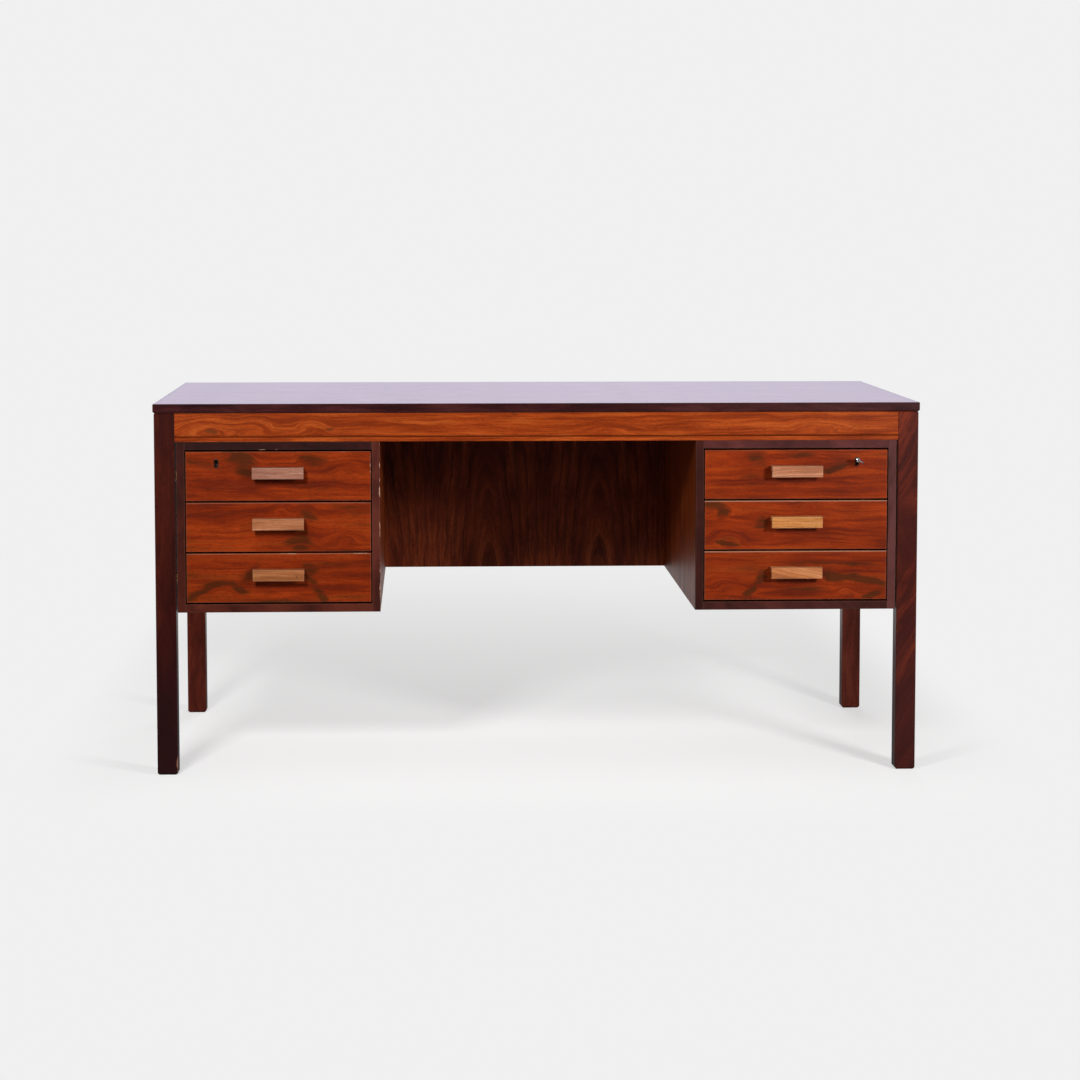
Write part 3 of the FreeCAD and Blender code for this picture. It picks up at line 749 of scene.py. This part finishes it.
# %% Drawer fronts
FRONT_FIGURES = {
    "left_upper": ((0.09, 0.74, 90, 21, -22, 1.2, 0.17), (0.30, 0.84, 48, 78, 60, 12, 0.26),
                   (0.33, 0.52, 74, 24, -18, 2.4, 0.19), (0.50, 0.86, 90, 26, -4, -2.4, -0.12),
                   (0.68, 0.82, 31, 75, 80, 11, 0.18), (0.86, 0.72, 80, 34, 0, 11, -0.06),
                   (0.78, 0.27, 53, 10, 8, 0, 0.18), (0.25, 0.10, 190, 14, 0, 0, -0.08)),
    "left_middle": ((0.18, 0.45, 130, 50, 0, -8, -0.10), (0.52, 0.88, 41, 27, 0, 11, 0.03),
                    (0.65, 0.80, 36, 51, 70, 8, 0.18), (0.62, 0.24, 65, 54, 20, 8, 0.25),
                    (0.86, 0.27, 74, 32, 0, 16, -0.10), (0.90, 0.86, 108, 21, -3, 0, 0.14)),
    "left_lower": ((0.20, 0.23, 46, 18, 0, 11, -0.15), (0.08, 0.24, 86, 18, 28, 1.8, 0.26),
                   (0.19, 0.40, 74, 16, 0, 1.2, 0.23), (0.29, 0.28, 43, 18, -35, 1.2, 0.28),
                   (0.35, 0.62, 55, 21, 62, 2.4, 0.19), (0.46, 0.20, 110, 22, 3, -1.2, -0.11),
                   (0.66, 0.64, 41, 42, -60, 3, 0.22), (0.72, 0.20, 74, 20, -62, 2.4, 0.28),
                   (0.86, 0.80, 156, 15, 3, 0, 0.18), (0.50, 0.02, 180, 12, 0, 0, 0.22)),
    "right_upper": ((0.10, 0.86, 80, 26, 4, 8, -0.09), (0.28, 0.84, 31, 60, 75, 8, 0.23),
                    (0.28, 0.42, 74, 30, 0, 2.4, 0.15), (0.51, 0.88, 79, 21, 0, 1.8, 0.25),
                    (0.72, 0.66, 74, 18, 16, 1.8, 0.31), (0.74, 0.83, 41, 22, 0, 1.2, 0.15),
                    (0.10, 0.20, 120, 22, 0, 0, -0.06)),
    "right_middle": ((0.10, 0.74, 31, 30, 30, 18, 0.28), (0.15, 0.72, 16, 14, 0, 2.4, -0.20),
                     (0.04, 0.89, 43, 18, 0, 0, 0.19), (0.13, 0.24, 74, 42, 0, 18, 0.08),
                     (0.12, 0.11, 62, 10, -8, 0, 0.26), (0.31, 0.56, 43, 36, 20, 2.4, 0.20),
                     (0.58, 0.90, 40, 18, 0, 12, -0.03), (0.66, 0.30, 74, 30, 10, 2.4, 0.08),
                     (0.80, 0.55, 130, 40, 0, 0, -0.05)),
    "right_lower": ((0.72, 0.72, 240, 12, -2, 0, 0.18), (0.69, 0.48, 55, 24, -15, 2.4, 0.32),
                    (0.86, 0.40, 120, 15, -9, 1.2, 0.28), (0.78, 0.15, 44, 14, -10, 11, -0.18),
                    (0.52, 0.20, 108, 18, -2, 1.2, 0.23), (0.30, 0.42, 50, 20, 50, 1.8, 0.26),
                    (0.245, 0.15, 43, 20, 62, 1.8, 0.32), (0.93, 0.14, 62, 12, 20, 0, 0.23),
                    (0.12, 0.40, 74, 45, -20, 13, 0.03)),
}
FRONT_CHIPS = {
    "left_upper": ((1.0, 0.0, 0.70, 5, 26, 0.36), (0.86, 0.0, 1.0, 9, 5, 0.28)),
    "left_lower": ((0.55, 0.0, 1.0, 34, 6, 0.30), (0.94, 0.0, 1.0, 34, 6, 0.30)),
    "right_upper": ((0.0, 0.0, 1.0, 6, 6, 0.35),),
    "right_lower": ((0.34, 0.0, 1.0, 16, 4, 0.2),),
}
# Pale line along a front's upper arris: partly wear, partly a painted highlight where the arris catches the
# light.
FRONT_TOP_WEAR_AND_LIGHT = {"right_middle": 0.6, "right_lower": 0.6, "left_middle": 0.2, "left_lower": 0.25}
FRONT_STREAKS = {"left_upper": 0.53, "left_middle": 0.525, "left_lower": 0.485, "right_upper": 0.535,
                 "right_middle": 0.535, "right_lower": 0.485}
front_wood = {"mottle": 0.14, "backing": ("#8d5f3f", "#9d6e4b", "#ab7b56")}

for seed, (drawer, figures) in enumerate(FRONT_FIGURES.items(), start=11):
    piece = f"{drawer}_drawer_front"
    dress(piece, finished_wood(piece, **front_wood, seed=seed, figures=figures,
                               chips=FRONT_CHIPS.get(drawer, ()), streak_from=FRONT_STREAKS[drawer],
                               top_rub=FRONT_TOP_WEAR_AND_LIGHT.get(drawer, 0.0)))
    print(piece, "has", len(figures), "figures")

# %% [markdown]
# ## Rail and strip
# The front rail and the strip glued below it are the palest show wood of the desk, a solid orange-brown
# board with a knot near its left end. Two swells side by side close the rings round that knot. The joint
# between rail and strip shows as a dark line: the shade of the groove between them is painted on the
# strip's arrises, most on its upper arris, with the wear's masks and a dark colour instead of a pale one.

# %% Front rail
RAIL_FIGURES = ((0.062, 0.28, 26, 16, 0, 6, 0.38), (0.062, 0.36, 120, 50, 0, 27, -0.04),
                (0.116, 0.50, 86, 42, 10, 20, 0.04), (0.20, 0.45, 70, 40, -10, 12, 0.0),
                (0.22, 0.30, 28, 10, 12, 1, 0.24), (0.30, 0.55, 120, 22, -4, 3, 0.07),
                (0.47, 0.90, 20, 10, 0, 2, 0.20), (0.60, 0.40, 130, 30, 4, 12, -0.02),
                (0.72, 0.60, 140, 22, 3, 4, 0.05), (0.88, 0.45, 130, 34, 0, 14, -0.03))
rail_wood = {"finish": "lacquered solid rosewood", "tones": ("#772909", "#8b340d", "#9f4114", "#b0501d"),
             "clear": "#b55d26", "ink": "#592309", "ink_gap": 5.0, "ink_share": 0.32, "streak": "#4e2a14",
             "streak_share": 0.7, "bend": 16.0, "pith": (45.0, 120.0), "ring": 2.6, "bare": "#c79a78",
             "rub_share": 0.12}
# Painted shade of the groove between rail and strip: the strip's arris lines and chips take a dark colour in
# place of bare wood.
groove_shade = {"bare": "#401707", "rub_share": 0.3, "top_rub": 0.9}

dress("front_rail", finished_wood("front_rail", **rail_wood, seed=21, figures=RAIL_FIGURES))
dress("front_rail_strip", finished_wood("front_rail_strip", **{**rail_wood, **groove_shade}, seed=22))
print("rail figures:", len(RAIL_FIGURES))

# %% [markdown]
# ## Legs and hidden rails
# Legs are solid rosewood, cut from darker timber. The grain runs up the leg, and the pith is far enough
# away to leave long straight streaks. The right front leg was cut at a slant, so its streaks cross its
# face. Both front legs darken towards the floor and are scuffed low down. The four legs differ in tone, so
# each has its own list, and the rails behind share the palest one.

# %% Legs and frame rails
LEG_TONES = {
    "front_left_leg": ("#2f0e0a", "#3d130d", "#4a1a10"),
    "front_right_leg": ("#401510", "#5c2114", "#7e301a"),
    "rear_left_leg": ("#491a12", "#5d2317", "#6d2c1c"),
    "rear_right_leg": ("#56221a", "#6a2d21", "#7a3829"),
}
LEG_SLOPES = {"front_right_leg": -30.0}
LEG_FEET = {"front_left_leg": "#241012", "front_right_leg": "#3c1b19"}
LEG_CHIPS = {"front_left_leg": ((1.0, 0.0, 0.03, 8, 26, 0.6),),
             "front_right_leg": ((0.5, 0.0, 0.005, 40, 8, 0.4), (1.0, 0.0, 0.15, 5, 8, 0.5))}
RAIL_GRAINS = {"back_rail": "x", "left_side_rail": "y", "right_side_rail": "y"}
leg_wood = {"finish": "lacquered dark rosewood", "clear": "#5d2716", "ink": "#220c09", "streak": "#1e0b09",
            "ink_gap": 9.0, "pith": (90.0, 60.0), "bend": 14.0, "bare": "#96684f", "rub_share": 0.10,
            "chip_from": 0.74}

for seed, (leg, tones) in enumerate(LEG_TONES.items(), start=31):
    dress(leg, finished_wood(leg, **leg_wood, grain="z", tones=tones, seed=seed,
                             slope=LEG_SLOPES.get(leg, 0.0), foot=LEG_FEET.get(leg),
                             chips=LEG_CHIPS.get(leg, ())))
for seed, (rail, grain) in enumerate(RAIL_GRAINS.items(), start=36):
    dress(rail, finished_wood(rail, **leg_wood, grain=grain, tones=LEG_TONES["rear_right_leg"], seed=seed))
print("legs and rails:", len(LEG_TONES) + len(RAIL_GRAINS))

# %% [markdown]
# ## The top
# Four leaves of veneer run the length of the top, opened like a book, inside a dark solid lipping with
# mitred corners. Lacquer is thicker and smoother here: from the camera's low place the top is nearly a
# mirror of the backdrop, and from above its figure shows.

# %% Top
top_leaf_mm = 183.5
top_wood = {"finish": "polished rosewood veneer", "across": "y",
            "leaf": ("PINGPONG", top_leaf_mm, 2 * top_leaf_mm), "pith": (15.0, 75.0), "taper": 0.05,
            "bend": 34.0, "curl": 3.0, "ring": 6.0, "flame_share": 0.15,
            "tones": ("#521c0e", "#6c2812", "#823517", "#94441f"), "clear": "#8f4825", "ink": "#34130c",
            "ink_gap": 13.0, "ink_share": 0.4, "streak": "#2c130d", "streak_from": 0.53, "streak_to": 0.70,
            "mottle": 0.04, "rough": 0.13, "relief": 0.03, "specular": 0.5, "rub_share": 0.0,
            "chip_from": 0.95}

dress("desktop_panel", finished_wood("desktop_panel", **top_wood, seed=41))
print("leaf on the top:", top_leaf_mm, "mm wide")

# %% [markdown]
# The lipping's long strips have their grain along the desk and its short strips across it. They meet in
# mitres, so a point belongs to a short strip where it is nearer to the end of the top than to the front
# or back.

# %% Lipping
lipping_wood = {"finish": "lacquered blackish rosewood",
                "tones": ("#2a1011", "#351516", "#411c1c", "#4c2424"), "clear": "#4a2522", "ink": "#160808",
                "streak": "#160a0a", "bare": "#a48878", "rub_share": 0.08, "chip_from": 0.715, "ring": 4.0,
                "rough": 0.14, "specular": 0.5}

dress("desktop_lipping", finished_wood("desktop_lipping", **lipping_wood, mitred=True, seed=43))
print("lipping tones:", ", ".join(lipping_wood["tones"]))

# %% [markdown]
# ## Back panel
# Slipped leaves of plain-sawn veneer stand upright behind the kneehole. A log tapers, so a plain-sawn
# leaf cuts its rings at a slant and shows them as a stack of pointed arches: the taper in the ring
# distance draws them.

# %% Back panel
panel_leaf_mm, panel_shift_mm = 245.0, 40.0
panel_wood = {"finish": "satin lacquered rosewood veneer", "grain": "z",
              "leaf": ("FLOORED_MODULO", panel_leaf_mm, panel_shift_mm), "pith": (-50.0, 0.0),
              "taper": 0.13, "bend": 16.0, "ring": 6.0,
              "tones": ("#46190e", "#5c2211", "#702e16", "#81391c"), "clear": "#8c3f1f", "ink": "#240d07",
              "ink_gap": 17.0, "ink_share": 0.6, "streak": "#27100a", "rough": 0.34, "rub_share": 0.05}

dress("back_panel", finished_wood("back_panel", **panel_wood, seed=51))
print("leaf on the panel:", panel_leaf_mm, "mm wide")

# %% [markdown]
# ## Pedestals
# The pedestals are boards with upright veneer on their faces and a solid dark strip along their front
# edges. The strips show as a frame round the drawers. Each strip has its own tones, with light and shade
# painted in: darkest on the left pedestal's top, in the shade under the rail, and lighter and greyer on the
# right pedestal's outer side and top, with painted light of the right lamp and the pale wall. The left
# pedestal's inner front corner has lost many small chips.

# %% Pedestals
# Painted light and shade in each strip's tones: darkest under the rail, lighter and greyer towards the right
# lamp and the pale wall.
LIT_AND_SHADED_STRIP_TONES = {
    "left_pedestal_outer_side": ("#30100a", "#3d150d", "#4a1c12"),
    "left_pedestal_inner_side": ("#3a1610", "#4a1e16", "#58281e"),
    "left_pedestal_top": ("#1f0a09", "#290e0c", "#331311"),
    "left_pedestal_bottom": ("#3a150e", "#491c12", "#572519"),
    "right_pedestal_outer_side": ("#3e1d1b", "#4d2825", "#5b322f"),
    "right_pedestal_inner_side": ("#280e0a", "#34120d", "#401811"),
    "right_pedestal_top": ("#3d1a18", "#4c2220", "#5a2b28"),
    "right_pedestal_bottom": ("#311410", "#3e1a16", "#4a211c"),
}
BOARD_CHIPS = {
    "left_pedestal_inner_side": ((1.0, 0.0, 0.50, 5, 80, 0.33), (1.0, 0.0, 0.87, 5, 90, 0.33),
                                 (1.0, 0.0, 0.70, 6, 12, 0.46), (1.0, 0.0, 0.15, 5, 70, 0.33)),
    "left_pedestal_top": ((0.45, 0.0, 0.0, 90, 4, 0.2), (0.2, 0.0, 0.0, 60, 4, 0.14)),
}
BOARDS = {"outer_side": {"grain": "z", "across": "y"}, "inner_side": {"grain": "z", "across": "y"},
          "top": {"grain": "x", "across": "z"}, "bottom": {"grain": "x", "across": "z"}}
PEDESTAL_SEEDS = {"left": 61, "right": 71}
pedestal_wood = {"finish": "satin lacquered rosewood veneer", "clear": "#833c18", "ink": "#2c1009",
                 "streak": "#2c120a", "tones": ("#54200b", "#6d2a0c", "#80350f", "#8f4014"), "rough": 0.42,
                 "rub_share": 0.10, "bare": "#b89078", "pith": (-80.0, 40.0), "taper": 0.08, "ring": 5.5}

for side, first_seed in PEDESTAL_SEEDS.items():
    for seed, (name, cut) in enumerate(BOARDS.items(), start=first_seed):
        piece = f"{side}_pedestal_{name}"
        dress(piece, finished_wood(piece, **pedestal_wood, **cut, seed=seed, front_strip=LIT_AND_SHADED_STRIP_TONES[piece],
                                   chips=BOARD_CHIPS.get(piece, ())))
print("pedestal boards:", len(LIT_AND_SHADED_STRIP_TONES))

# %% [markdown]
# ## Handles
# Hands have worn the lacquer off the handles, so they are bare, pale and dry: the same timber, bleached
# to tan. No two are alike, because each was cut from a different offcut. The wood function serves again,
# with tighter rings, since a block this small holds only a few centimetres of the log.

# %% Handles
HANDLE_TONES = {
    "left_upper": ("#6e4331", "#8a5a48", "#9c6b58", "#ab7e6e"),
    "left_middle": ("#8b5233", "#a36743", "#b37552", "#be8462"),
    "left_lower": ("#814a27", "#985b33", "#a8693f", "#b4784d"),
    "right_upper": ("#9b6043", "#b47857", "#c28666", "#cc9577"),
    "right_middle": ("#995d28", "#b27238", "#c08046", "#ca8e56"),
    "right_lower": ("#8f502b", "#aa6639", "#ba7546", "#c68557"),
}
HANDLE_SLOPES = {"right_lower": -14.0, "right_upper": 4.0, "left_middle": 3.0}
HANDLE_FIGURES = {"left_lower": ((0.88, 0.42, 4, 4, 0, 0, 0.90),),
                  "right_upper": ((0.60, 0.62, 14, 6, 30, 1.8, 0.30),)}
handle_wood = {"finish": "bare worn rosewood", "ink": "#7a4a34", "streak": "#5f3a2a", "ink_gap": 4.5,
               "ink_share": 0.5, "ring": 2.6, "bend": 7.0, "bare": "#d9b596", "rub_share": 0.22,
               "rough": 0.6, "relief": 0.3, "specular": 0.08, "streak_from": 0.62, "streak_to": 0.85}

for seed, (drawer, tones) in enumerate(HANDLE_TONES.items(), start=81):
    piece = f"{drawer}_drawer_handle"
    dress(piece, finished_wood(piece, **handle_wood, seed=seed, tones=tones, clear=tones[-1],
                               slope=HANDLE_SLOPES.get(drawer, 0.0),
                               figures=HANDLE_FIGURES.get(drawer, ())))
print("handles:", len(HANDLE_TONES))

# %% [markdown]
# ## Drawer linings and runners
# Inside, the drawers are plain: beech sides and backs under a thin lacquer, plywood bottoms, and waxed
# beech runners, blocks and spacers. The same wood function serves, with pale tones, little ink and a dry
# gloss. These pieces don't show in the photograph, so their timber is a guess at what such desks usually
# have.

# %% Drawer linings and runners
PLAIN_WOODS = {
    "drawer_wood": {"finish": "lacquered beech", "tones": ("#b88c60", "#c69a6c", "#d0a778", "#d8b286"),
                    "clear": "#dcb990", "ink": "#9c744a", "streak": "#a27b50", "ink_gap": 8.0,
                    "pore_share": 0.45, "rough": 0.42},
    "drawer_plywood": {"finish": "lacquered plywood", "tones": ("#cfab82", "#d8b58c", "#debd96", "#e3c5a1"),
                       "clear": "#e5c9a7", "ink": "#b99168", "streak": "#bd976c", "ink_gap": 26.0,
                       "rough": 0.5},
    "runner_wood": {"finish": "waxed beech", "tones": ("#b98d5f", "#c49a6c", "#cda578", "#d3ae83"),
                    "clear": "#d7b48b", "ink": "#a07444", "streak": "#a67c50", "ink_gap": 6.0,
                    "rough": 0.5},
}
plain_wood = {"mottle": 0.04, "bare": "#dcc6a4", "rub_share": 0.15, "ink_share": 0.3, "streak_share": 0.4,
              "specular": 0.3, "chip_from": 0.9}

plain_pieces = [row for row in frame["record"]["subparts"] if row["material_slot"] in PLAIN_WOODS]
for seed, row in enumerate(plain_pieces, start=91):
    piece = row["node"]
    grain = "x" if piece.endswith(("back", "bottom", "blocks")) else "y"
    across = "y" if piece.endswith("bottom") else "z"
    dress(piece, finished_wood(piece, **plain_wood, **PLAIN_WOODS[row["material_slot"]], grain=grain,
                               across=across, seed=seed))
print("plain wooden pieces:", len(plain_pieces))

# %% [markdown]
# ## Metal
# The lock cases and screws are zinc-plated steel, the bolts worn brass and the key nickel plate. Plate is
# never one even grey, as a plain metal shader would be: brushing leaves fine lines along one axis,
# handling leaves darker tarnish in patches, and edges are rubbed bright. Brushing is drawn a third of a
# millimetre wide, coarser than real, so that it shows.

# %% Metal finishes
METALS = {
    "lock_steel": {"finish": "aged zinc-plated steel", "bright": "#75777a", "dull": "#515458",
                   "tarnish": "#3d372f", "rough": 0.5},
    "bolt_brass": {"finish": "worn brass", "bright": "#a5843f", "dull": "#7d5f2a", "tarnish": "#46371d",
                   "rough": 0.4},
    "key_nickel": {"finish": "nickel plate", "bright": "#d6d8da", "dull": "#a3a7ab", "tarnish": "#6f6a62",
                   "rough": 0.22},
}
brush_sizes_mm, brush_seed = (14.0, 0.35, 0.35), 3
tarnish_sizes_mm, tarnish_seed = (6.0, 6.0, 6.0), 5
tarnish_from, tarnish_to, tarnish_share = 0.52, 0.70, 0.7
tarnish_dull_by = 0.25
bright_edge_mm, bright_edge_share = 0.5, 0.6
brush_relief, brush_depth = 0.1, 0.0002


def plated_metal(piece, metal):
    """Metal with brushed lines in its colour and relief, patches of dull tarnish and bright edges."""
    material, tree = new_material(f"{metal['finish']}, {piece}")
    space = piece_space(tree, piece, "x")
    bright = linear(metal["bright"])
    brush = stretched_noise(tree, space, brush_sizes_mm, brush_seed, detail=3.0)["Fac"]
    colour = add(tree, "Mix", Factor=brush, A=linear(metal["dull"]), B=bright, data_type="RGBA")["Result"]
    patches = stretched_noise(tree, space, tarnish_sizes_mm, tarnish_seed, detail=4.0, roughness=0.6)["Fac"]
    tarnished = add(tree, "MapRange", patches, tarnish_from, tarnish_to, 0.0, tarnish_share)[0]
    tarnish = linear(metal["tarnish"])
    colour = add(tree, "Mix", Factor=tarnished, A=colour, B=tarnish, data_type="RGBA")["Result"]
    edge = edge_distance(tree, piece)
    rubbed = add(tree, "MapRange", edge, 0.0, bright_edge_mm, bright_edge_share, 0.0)[0]
    colour = add(tree, "Mix", Factor=rubbed, A=colour, B=bright, data_type="RGBA")["Result"]
    gloss = add(tree, "MapRange", tarnished, 0.0, tarnish_share, metal["rough"],
                metal["rough"] + tarnish_dull_by)[0]
    relief = add(tree, "Bump", Strength=brush_relief, Distance=brush_depth, Height=brush)[0]
    shader = add(tree, "BsdfPrincipled", Base_Color=colour, Metallic=1.0, Roughness=gloss, Normal=relief)[0]
    add(tree, "OutputMaterial", shader)
    return material


metal_pieces = [row for row in frame["record"]["subparts"] if row["material_slot"] in METALS]
for row in metal_pieces:
    dress(row["node"], plated_metal(row["node"], METALS[row["material_slot"]]))
print("metal pieces:", len(metal_pieces))

# %% [markdown]
# ## Screw heads
# The screws of the CAD frame end in a flat. Real ones of that time have a low dome with a slot, and each
# slot stops at its own angle. A head could be a lathe shape with a bar cut out of it. Here it is a closed
# loop carried across the slot instead: the loop runs along the slot over the dome and back underneath, so
# the slot's walls are clean steps between two rows and no cutting is needed.

# %% Slotted screw heads
dome_mm, rim_mm = 0.7, 0.15
slot_floor_mm = 0.05
sunk_mm = 0.6
slot_half_share = 0.14
slot_taper_share = 0.9
outer_row_share = 0.985
rows_per_side = 6
points_per_run = 13
slot_turn_degrees = 50.0
sharp_degrees = 30.0


def head_loops(radius):
    """Rows of one head in mm, as distances along the slot, across it and outwards.

    A row's half-length is the root of the radius squared less its distance across squared. The dome's height
    is the rim plus its rise times one less the squared distance to the middle, over the radius squared."""
    flank = radius * np.linspace(slot_half_share, outer_row_share, rows_per_side)
    floor_row = radius * slot_half_share * slot_taper_share
    across = np.concatenate([-flank[::-1], [-floor_row, floor_row], flank])
    in_slot = np.abs(across) < flank[0]
    along = np.sqrt(radius ** 2 - across ** 2)[:, None] * np.linspace(-1.0, 1.0, points_per_run)
    across = np.broadcast_to(across[:, None], along.shape)
    dome = rim_mm + dome_mm * (1 - (along ** 2 + across ** 2) / radius ** 2)
    over = np.stack([along, across, np.where(in_slot[:, None], slot_floor_mm, dome)], axis=-1)
    under = np.stack([along, across, np.full_like(along, -sunk_mm)], axis=-1)[:, ::-1]
    return np.concatenate([over, under], axis=1)


def loop_quads(rows, points, bands):
    """Quads between each row and the next, for a number of bands; a row's points run round in a ring."""
    row, point = np.meshgrid(np.arange(bands), np.arange(points), indexing="ij")
    here, there, after = row * points, (row + 1) % rows * points, (point + 1) % points
    return np.stack([here + point, here + after, there + after, there + point], axis=-1).reshape(-1, 4)


def head_faces(rows, points, heads):
    """The quads of every head, and a cap on each of its end rows."""
    first = np.arange(heads)[:, None] * rows * points
    quads = first[:, None] + loop_quads(rows, points, rows - 1)
    ring = np.arange(points)
    caps = np.concatenate([first + ring[::-1], first + (rows - 1) * points + ring])
    return quads.reshape(-1, 4).tolist() + caps.tolist()


def metal_piece(name, body, points, faces, finish):
    """Mesh object of small metal with soft curves and sharp corners, riding on a body."""
    mesh = bpy.data.meshes.new(name)
    mesh.from_pydata(points.reshape(-1, 3).tolist(), [], faces)
    mesh.shade_smooth()
    mesh.set_sharp_from_angle(angle=math.radians(sharp_degrees))
    mesh.materials.append(finish)
    piece = bpy.data.objects.new(name, mesh)
    scene.collection.objects.link(piece)
    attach(piece, body)
    print(name, "has", len(mesh.polygons), "faces")


def screw_heads(name, body, places, outward, radius, finish):
    """Heads at places in metres, all facing one way, each slot turned on by the same angle from the last."""
    loops = head_loops(radius) / MM_PER_M
    places, outward = np.asarray(places), np.asarray(outward, dtype=float)
    beside = np.roll(outward, 1)
    turns = math.radians(slot_turn_degrees) * np.arange(1, len(places) + 1)[:, None]
    along = np.cos(turns) * beside + np.sin(turns) * np.cross(outward, beside)
    across = np.cross(outward, along)
    axes = np.stack([along, across, np.broadcast_to(outward, along.shape)], axis=1)
    points = places[:, None, None, :] + np.einsum("rpa,hac->hrpc", loops, axes)
    metal_piece(name, body, points, head_faces(*loops.shape[:2], len(places)), finish)


print("rows and points of a head:", head_loops(1.0).shape[:2])

# %% [markdown]
# Four small screws hold each lock case to the back of its drawer front. Two per pedestal go through its
# side into the leg, and two through its top into the front rail, and all of them are seen when the
# drawers are out.

# %% Places of the screws
SIDES = {"left": -1.0, "right": 1.0}
lock_screw_inset = 0.0055
lock_screw_radius_mm = 2.4
wood_screw_radius_mm = 4.2
leg_screw_shares = np.array([0.2, 0.8])
rail_screw_shares = np.array([0.38, 0.86])
rail_low, rail_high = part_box("front_rail")
rail_middle_y = (rail_low.y + rail_high.y) / 2
screw_steel = frame["nodes"]["wood_screws"].data.materials[0]

for side, sign in SIDES.items():
    case_steel = frame["nodes"][f"{side}_lock_case"].data.materials[0]
    low, high = (np.array(corner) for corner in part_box(f"{side}_lock_case"))
    inset = np.array([lock_screw_inset, 0.0, lock_screw_inset])
    low, high = low + inset, high - inset
    corners = [(x, high[1], z) for x in (low[0], high[0]) for z in (low[2], high[2])]
    screw_heads(f"{side}_lock_screws", f"{side}_upper_drawer", corners, (0, 1, 0), lock_screw_radius_mm,
                case_steel)

    bay_outer = min(abs(corner.x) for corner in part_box(f"{side}_pedestal_outer_side"))
    bay_inner = max(abs(corner.x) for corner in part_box(f"{side}_pedestal_inner_side"))
    bottom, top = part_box(f"{side}_pedestal_bottom")[0].z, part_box(f"{side}_pedestal_top")[1].z
    leg_low, leg_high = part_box(f"front_{side}_leg")
    into_leg = [(sign * bay_outer, (leg_low.y + leg_high.y) / 2, z)
                for z in bottom + leg_screw_shares * (top - bottom)]
    screw_heads(f"{side}_leg_screw_heads", "desk", into_leg, (-sign, 0, 0), wood_screw_radius_mm,
                screw_steel)

    bay_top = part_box(f"{side}_pedestal_top")[0].z
    into_rail = [(sign * x, rail_middle_y, bay_top)
                 for x in bay_outer + rail_screw_shares * (bay_inner - bay_outer)]
    screw_heads(f"{side}_rail_screw_heads", "desk", into_rail, (0, 0, -1), wood_screw_radius_mm,
                screw_steel)

# %% [markdown]
# ## Keyhole liners
# A dark ring shows round the keyholes in the photograph, about two millimetres wide: the rim of a metal
# liner that keeps the key from chewing the veneer. It is a low rounded profile carried along the
# keyhole's outline, a round with a flared slot below it. The outline is evened out by spacing its points
# equally and averaging neighbours, so that the profile doesn't cross itself in the corners.

# %% Keyhole liners
key_axis_x, key_axis_z = 0.628, 0.617
hole_radius_mm = 2.8
slot_half_mm, foot_half_mm = 1.7, 2.2
tail_mm = 10.0
liner_gap_mm = 0.15
liner_width_mm = 2.2
liner_across_shares = np.array([0.0, 0.0, 0.25, 0.75, 1.0, 1.0])
liner_heights_mm = np.array([-0.6, 0.25, 0.35, 0.35, 0.1, -0.6])
round_points, path_points = 60, 96
averaged_steps = (-2, -1, 0, 1, 2)
liner_metal = {"finish": "blackened brass", "bright": "#3b3329", "dull": "#221c17", "tarnish": "#14100d",
               "rough": 0.5}


def keyhole_path():
    """Outline of the keyhole in mm from the key's axis, counter-clockwise from the front: the round from
    one side of the slot over the top to the other, then down that side, along the foot and up again."""
    join = np.arcsin(slot_half_mm / hole_radius_mm)
    turn = np.linspace(join - np.pi / 2, 1.5 * np.pi - join, round_points)
    round_part = hole_radius_mm * np.stack([np.cos(turn), np.sin(turn)], axis=1)
    foot = np.array([(-foot_half_mm, -tail_mm), (foot_half_mm, -tail_mm)])
    corners = np.concatenate([round_part, foot, round_part[:1]])
    walked = np.concatenate([[0.0], np.cumsum(np.linalg.norm(np.diff(corners, axis=0), axis=1))])
    stops = np.linspace(0.0, walked[-1], path_points, endpoint=False)
    even = np.stack([np.interp(stops, walked, corners[:, axis]) for axis in (0, 1)], axis=1)
    return np.mean([np.roll(even, step, axis=0) for step in averaged_steps], axis=0)


def liner_points(path, x, y, z):
    """The path moved outwards along its normal by each share of the width, and raised from the front."""
    ahead = np.roll(path, -1, axis=0) - np.roll(path, 1, axis=0)
    normal = np.stack([ahead[:, 1], -ahead[:, 0]], axis=1) / np.linalg.norm(ahead, axis=1)[:, None]
    reach = liner_gap_mm + liner_width_mm * liner_across_shares
    flat = (path[:, None] + normal[:, None] * reach[:, None]) / MM_PER_M
    height = np.broadcast_to(liner_heights_mm / MM_PER_M, flat.shape[:2])
    return np.stack([x + flat[..., 0], y - height, z + flat[..., 1]], axis=-1)


liner_faces = loop_quads(path_points, len(liner_across_shares), path_points).tolist()
front_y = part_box("left_upper_drawer_front")[0].y
for side, sign in SIDES.items():
    points = liner_points(keyhole_path(), sign * key_axis_x, front_y, key_axis_z)
    metal_piece(f"{side}_keyhole_liner", f"{side}_upper_drawer", points, liner_faces,
                plated_metal(f"{side}_lock_case", liner_metal))

# %% [markdown]
# ## Sizes
# The finishes should leave the desk no larger than its CAD model, so the box of everything shown is
# measured again, as the CAD model's box was at the start.

# %% Sizes
low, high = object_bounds()
